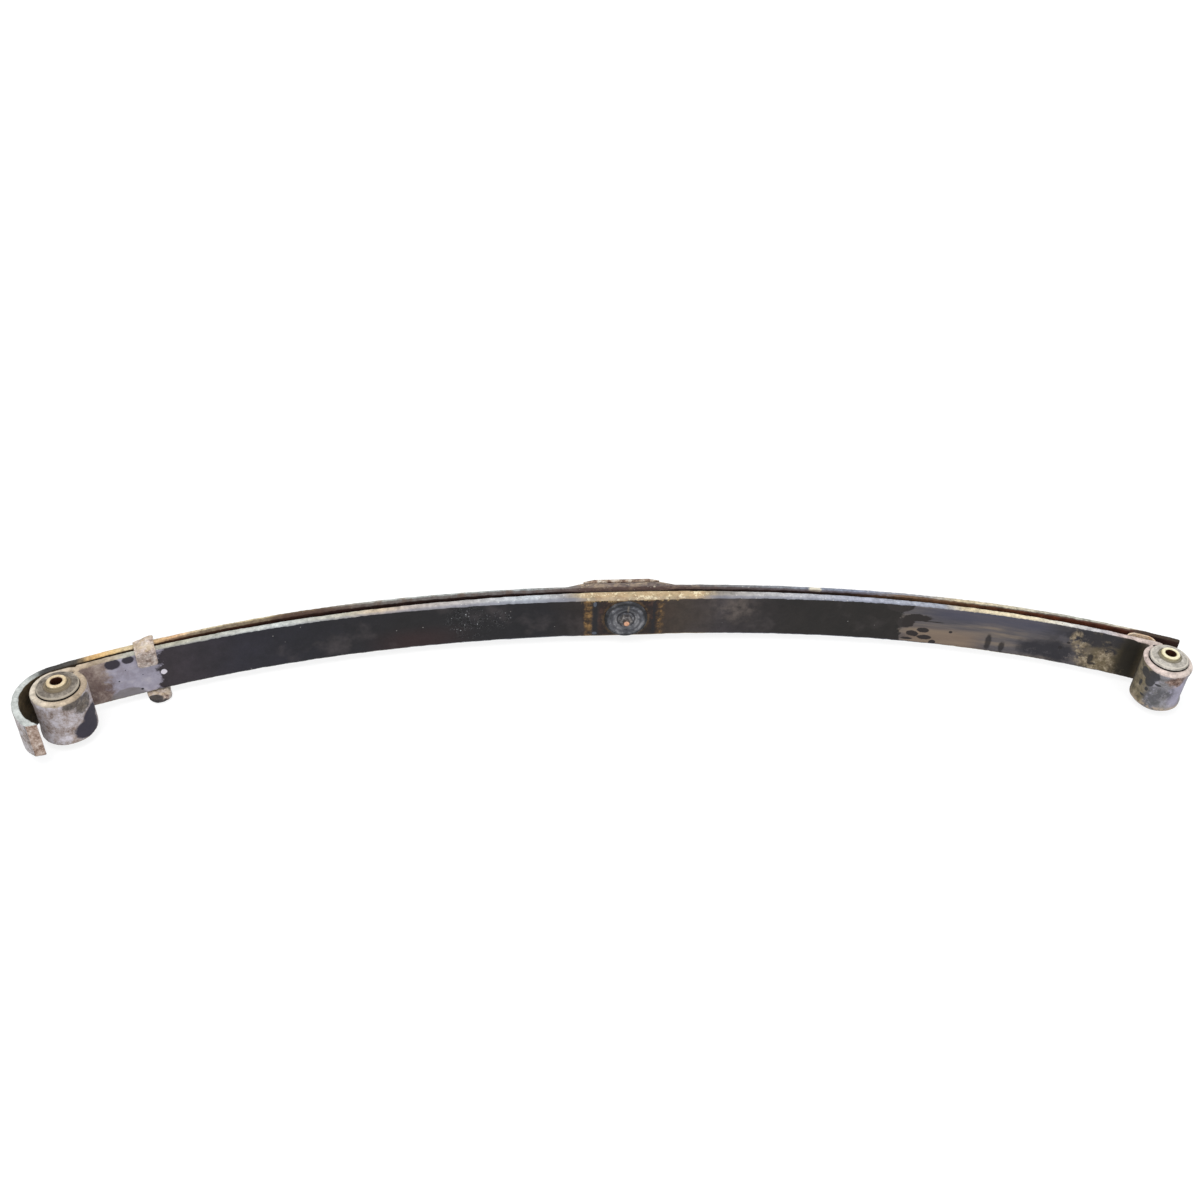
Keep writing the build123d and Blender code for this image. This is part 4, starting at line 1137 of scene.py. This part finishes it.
def bush_rubber(side, stops, rings, cone, collar):
    """Moulded rubber of a bush: a lip over the shell's end, a cone and a collar round the sleeve.

    `cone` is how much of the way to the collar's top the cone climbs.
    """
    centre = middle(f"{side}_bush_rubber")
    low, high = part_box(f"{side}_bush_rubber")
    outer = (high.x - low.x) / 2
    shell_low, shell_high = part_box(f"{side}_bush_shell")
    shell_half = (shell_high.z - shell_low.z) / 2
    rise = (high.z - low.z) / 2 - shell_half
    inner = radius_of(f"{side}_bush_sleeve") + 0.00006
    skirt = EYE_BORE + 0.0005
    collar_edge = inner + collar
    climb = (rise - 0.0016) * cone
    half_profile = [
        (outer, shell_half - 0.0006),
        (outer, shell_half + 0.0001),
        (EYE_BORE + 0.00006, shell_half + 0.0001),
        (EYE_BORE + 0.00006, main_high.z + 0.0006),
        (skirt - 0.0001, main_high.z + 0.0006),
        (skirt, main_high.z + 0.001),
        (skirt - 0.0001, shell_half + 0.0002),
        (skirt - 0.0006, shell_half + 0.001),
        (skirt - 0.0016, shell_half + 0.0014),
        (collar_edge + 0.0016, shell_half + 0.0016 + climb),
        (collar_edge + 0.0006, shell_half + 0.0014 + climb),
        (collar_edge, shell_half + 0.001 + climb),
        (collar_edge - 0.0004, shell_half + rise - 0.0006),
        (collar_edge - 0.001, shell_half + rise),
        (inner + 0.0004, shell_half + rise - 0.0002),
        (inner, shell_half + rise - 0.001),
    ]
    profile = half_profile + [(r, -h) for r, h in reversed(half_profile)]
    p, colour, rough, height = turned_paint(
        f"{side}_rubber_dusty", centre, stops, 75.0, rings, rough=0.75, flat=ABOUT_Z
    )
    # Painted shade, near black, on the lip where it sinks into the eye bore
    lip_shade = p.step(p.sum("SUBTRACT", p.sum("ABSOLUTE", p.z), main_high.z), 0.0016, 0.0009)
    colour = p.mix(lip_shade, colour, (30, 27, 25))
    material = p.finish(colour, rough, 0.0003, height, specular=0.25)
    piece = lathe(f"{side}_rubber_moulded", centre, profile, material)
    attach(piece, "spring")
    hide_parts(f"{side}_bush_rubber")


bush_rubber(
    "left",
    [(0.34, (92, 84, 76)), (0.5, (140, 131, 120)), (0.66, (188, 178, 164))],
    ((0.0252, 0.0009, (182, 172, 156)), (0.0142, 0.0014, (140, 126, 102)), (0.0164, 0.0007, (104, 92, 76))),
    cone=0.22,
    collar=0.0018,
)
bush_rubber(
    "right",
    [(0.34, (160, 154, 144)), (0.5, (206, 199, 188)), (0.66, (234, 227, 216))],
    ((0.0236, 0.0008, (212, 204, 190)), (0.0136, 0.0014, (130, 122, 100)), (0.0152, 0.0006, (104, 98, 84))),
    cone=0.62,
    collar=0.0018,
)


def sleeve_material(side, stops, end_tint):
    """Worn plating on the end, oily rust in the bore, grime where the rubber starts."""
    p = Paint(f"{side}_sleeve_worn")
    reach = p.reach(middle(f"{side}_bush_sleeve"))
    value = p.noise(130.0, 5.0, 0.7, shift=5.0)
    colour = p.ramp(value, stops)
    rim = p.band(reach, SLEEVE_BORE + 0.0018, SLEEVE_RADIUS - 0.0012, 0.0005)
    side_wall = p.step(p.sum("ABSOLUTE", p.nz), 0.6, 0.3)
    bore = p.step(reach, SLEEVE_BORE + 0.0007, SLEEVE_BORE + 0.0002)
    height = p.noise(500.0, 3.0, 0.6)
    rough = p.nudge(0.35, value, 0.3)
    colour = p.layers(
        colour,
        (rim, 0.55, end_tint),
        (side_wall, 0.7, (138, 126, 100)),
        (bore, p.grime((74, 40, 24), 0.5, 120.0)),
    )
    return p.finish(colour, rough, 0.0002, height, specular=0.4)


for side, stops, end_tint in (
    ("left", [(0.34, (150, 128, 96)), (0.5, (200, 180, 144)), (0.66, (230, 214, 184))], (216, 196, 160)),
    ("right", [(0.3, (198, 184, 140)), (0.5, (232, 222, 182)), (0.68, (248, 242, 214))], (244, 236, 208)),
):
    wear(nodes[f"{side}_bush_sleeve"], sleeve_material(side, stops, end_tint))


# ---------------------------------------------------------------- floor, light and camera
def floor_material():
    """White to the camera with the spring's shadow on it; the glow rises where the lamps fall off."""
    material = bpy.data.materials.new("studio_floor")
    material.use_nodes = True
    n = Nodes(material.node_tree)
    away = n.length(n.add("ShaderNodeNewGeometry").outputs["Position"])
    strength = n.sum("MULTIPLY", n.seen_directly(), n.map_range(away, GLOW_DISTANCE, GLOW_STRENGTH))
    matt = n.shader("ShaderNodeBsdfDiffuse", (0.26, 0.26, 0.26))
    glow = n.shader("ShaderNodeEmission", (1, 1, 1), strength)
    together = n.add("ShaderNodeAddShader", {0: matt, 1: glow})
    n.add("ShaderNodeOutputMaterial", {0: together.outputs[0]})
    return material


def make_floor():
    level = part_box("left_bush_sleeve")[0].z - 0.0004
    mesh = bpy.data.meshes.new("studio_floor")
    corners = [(x * FLOOR_REACH, y * FLOOR_REACH, level) for x, y in ((-1, -1), (1, -1), (1, 1), (-1, 1))]
    mesh.from_pydata(corners, [], [(0, 1, 2, 3)])
    floor = bpy.data.objects.new("studio_floor", mesh)
    scene.collection.objects.link(floor)
    mesh.materials.append(floor_material())


def make_world():
    """White to the camera, a plain cool light on the spring."""
    world = bpy.data.worlds.new("studio")
    scene.world = world
    world.use_nodes = True
    n = Nodes(world.node_tree)
    lighting = n.shader("ShaderNodeBackground", (0.93, 0.96, 1.0), 0.62)
    shown = n.shader("ShaderNodeBackground", (1, 1, 1), 1.0)
    choose = n.add("ShaderNodeMixShader", {0: n.seen_directly(), 1: lighting, 2: shown})
    n.add("ShaderNodeOutputWorld", {0: choose.outputs[0]})


def area_light(name, place, target, size, power, colour=(1, 1, 1)):
    data = bpy.data.lights.new(name, "AREA")
    data.shape = "DISK"
    data.size = size
    data.energy = power
    data.color = colour
    light = bpy.data.objects.new(name, data)
    scene.collection.objects.link(light)
    light.location = place
    light.rotation_euler = (Vector(target) - Vector(place)).to_track_quat("-Z", "Y").to_euler()


def make_camera():
    """A camera above and in front of the concave side, turned a little left and rolled."""
    pitch, yaw, roll = (math.radians(a) for a in (38.27, -7.26, 3.2))
    turn = Matrix.Rotation(yaw, 3, "Z")
    level_right = turn @ Vector((1, 0, 0))
    forward = turn @ Vector((0, math.cos(pitch), -math.sin(pitch)))
    level_up = turn @ Vector((0, math.sin(pitch), math.cos(pitch)))
    right = math.cos(roll) * level_right + math.sin(roll) * level_up
    up = -math.sin(roll) * level_right + math.cos(roll) * level_up
    data = bpy.data.cameras.new("camera")
    data.sensor_width = 36.0
    data.lens = 37.89
    data.shift_x = -0.0252
    data.shift_y = -0.0128
    data.clip_end = 50.0
    camera = bpy.data.objects.new("camera", data)
    scene.collection.objects.link(camera)
    turned = Matrix((right, up, -forward)).transposed()
    camera.matrix_world = Matrix.Translation(CAMERA_PLACE) @ turned.to_4x4()
    scene.camera = camera


make_floor()
make_world()
area_light("key", (-0.8, -0.9, 2.6), (0, -0.1, 0), 1.6, 40.0, (1.0, 0.985, 0.96))
area_light("fill", (0.9, -2.3, 0.9), (0.0, -0.1, 0), 1.8, 22.0, (0.97, 0.98, 1.0))
area_light("back", (0.3, 1.9, 1.5), (0, 0, 0), 1.4, 14.0, (1.0, 0.98, 0.95))
make_camera()
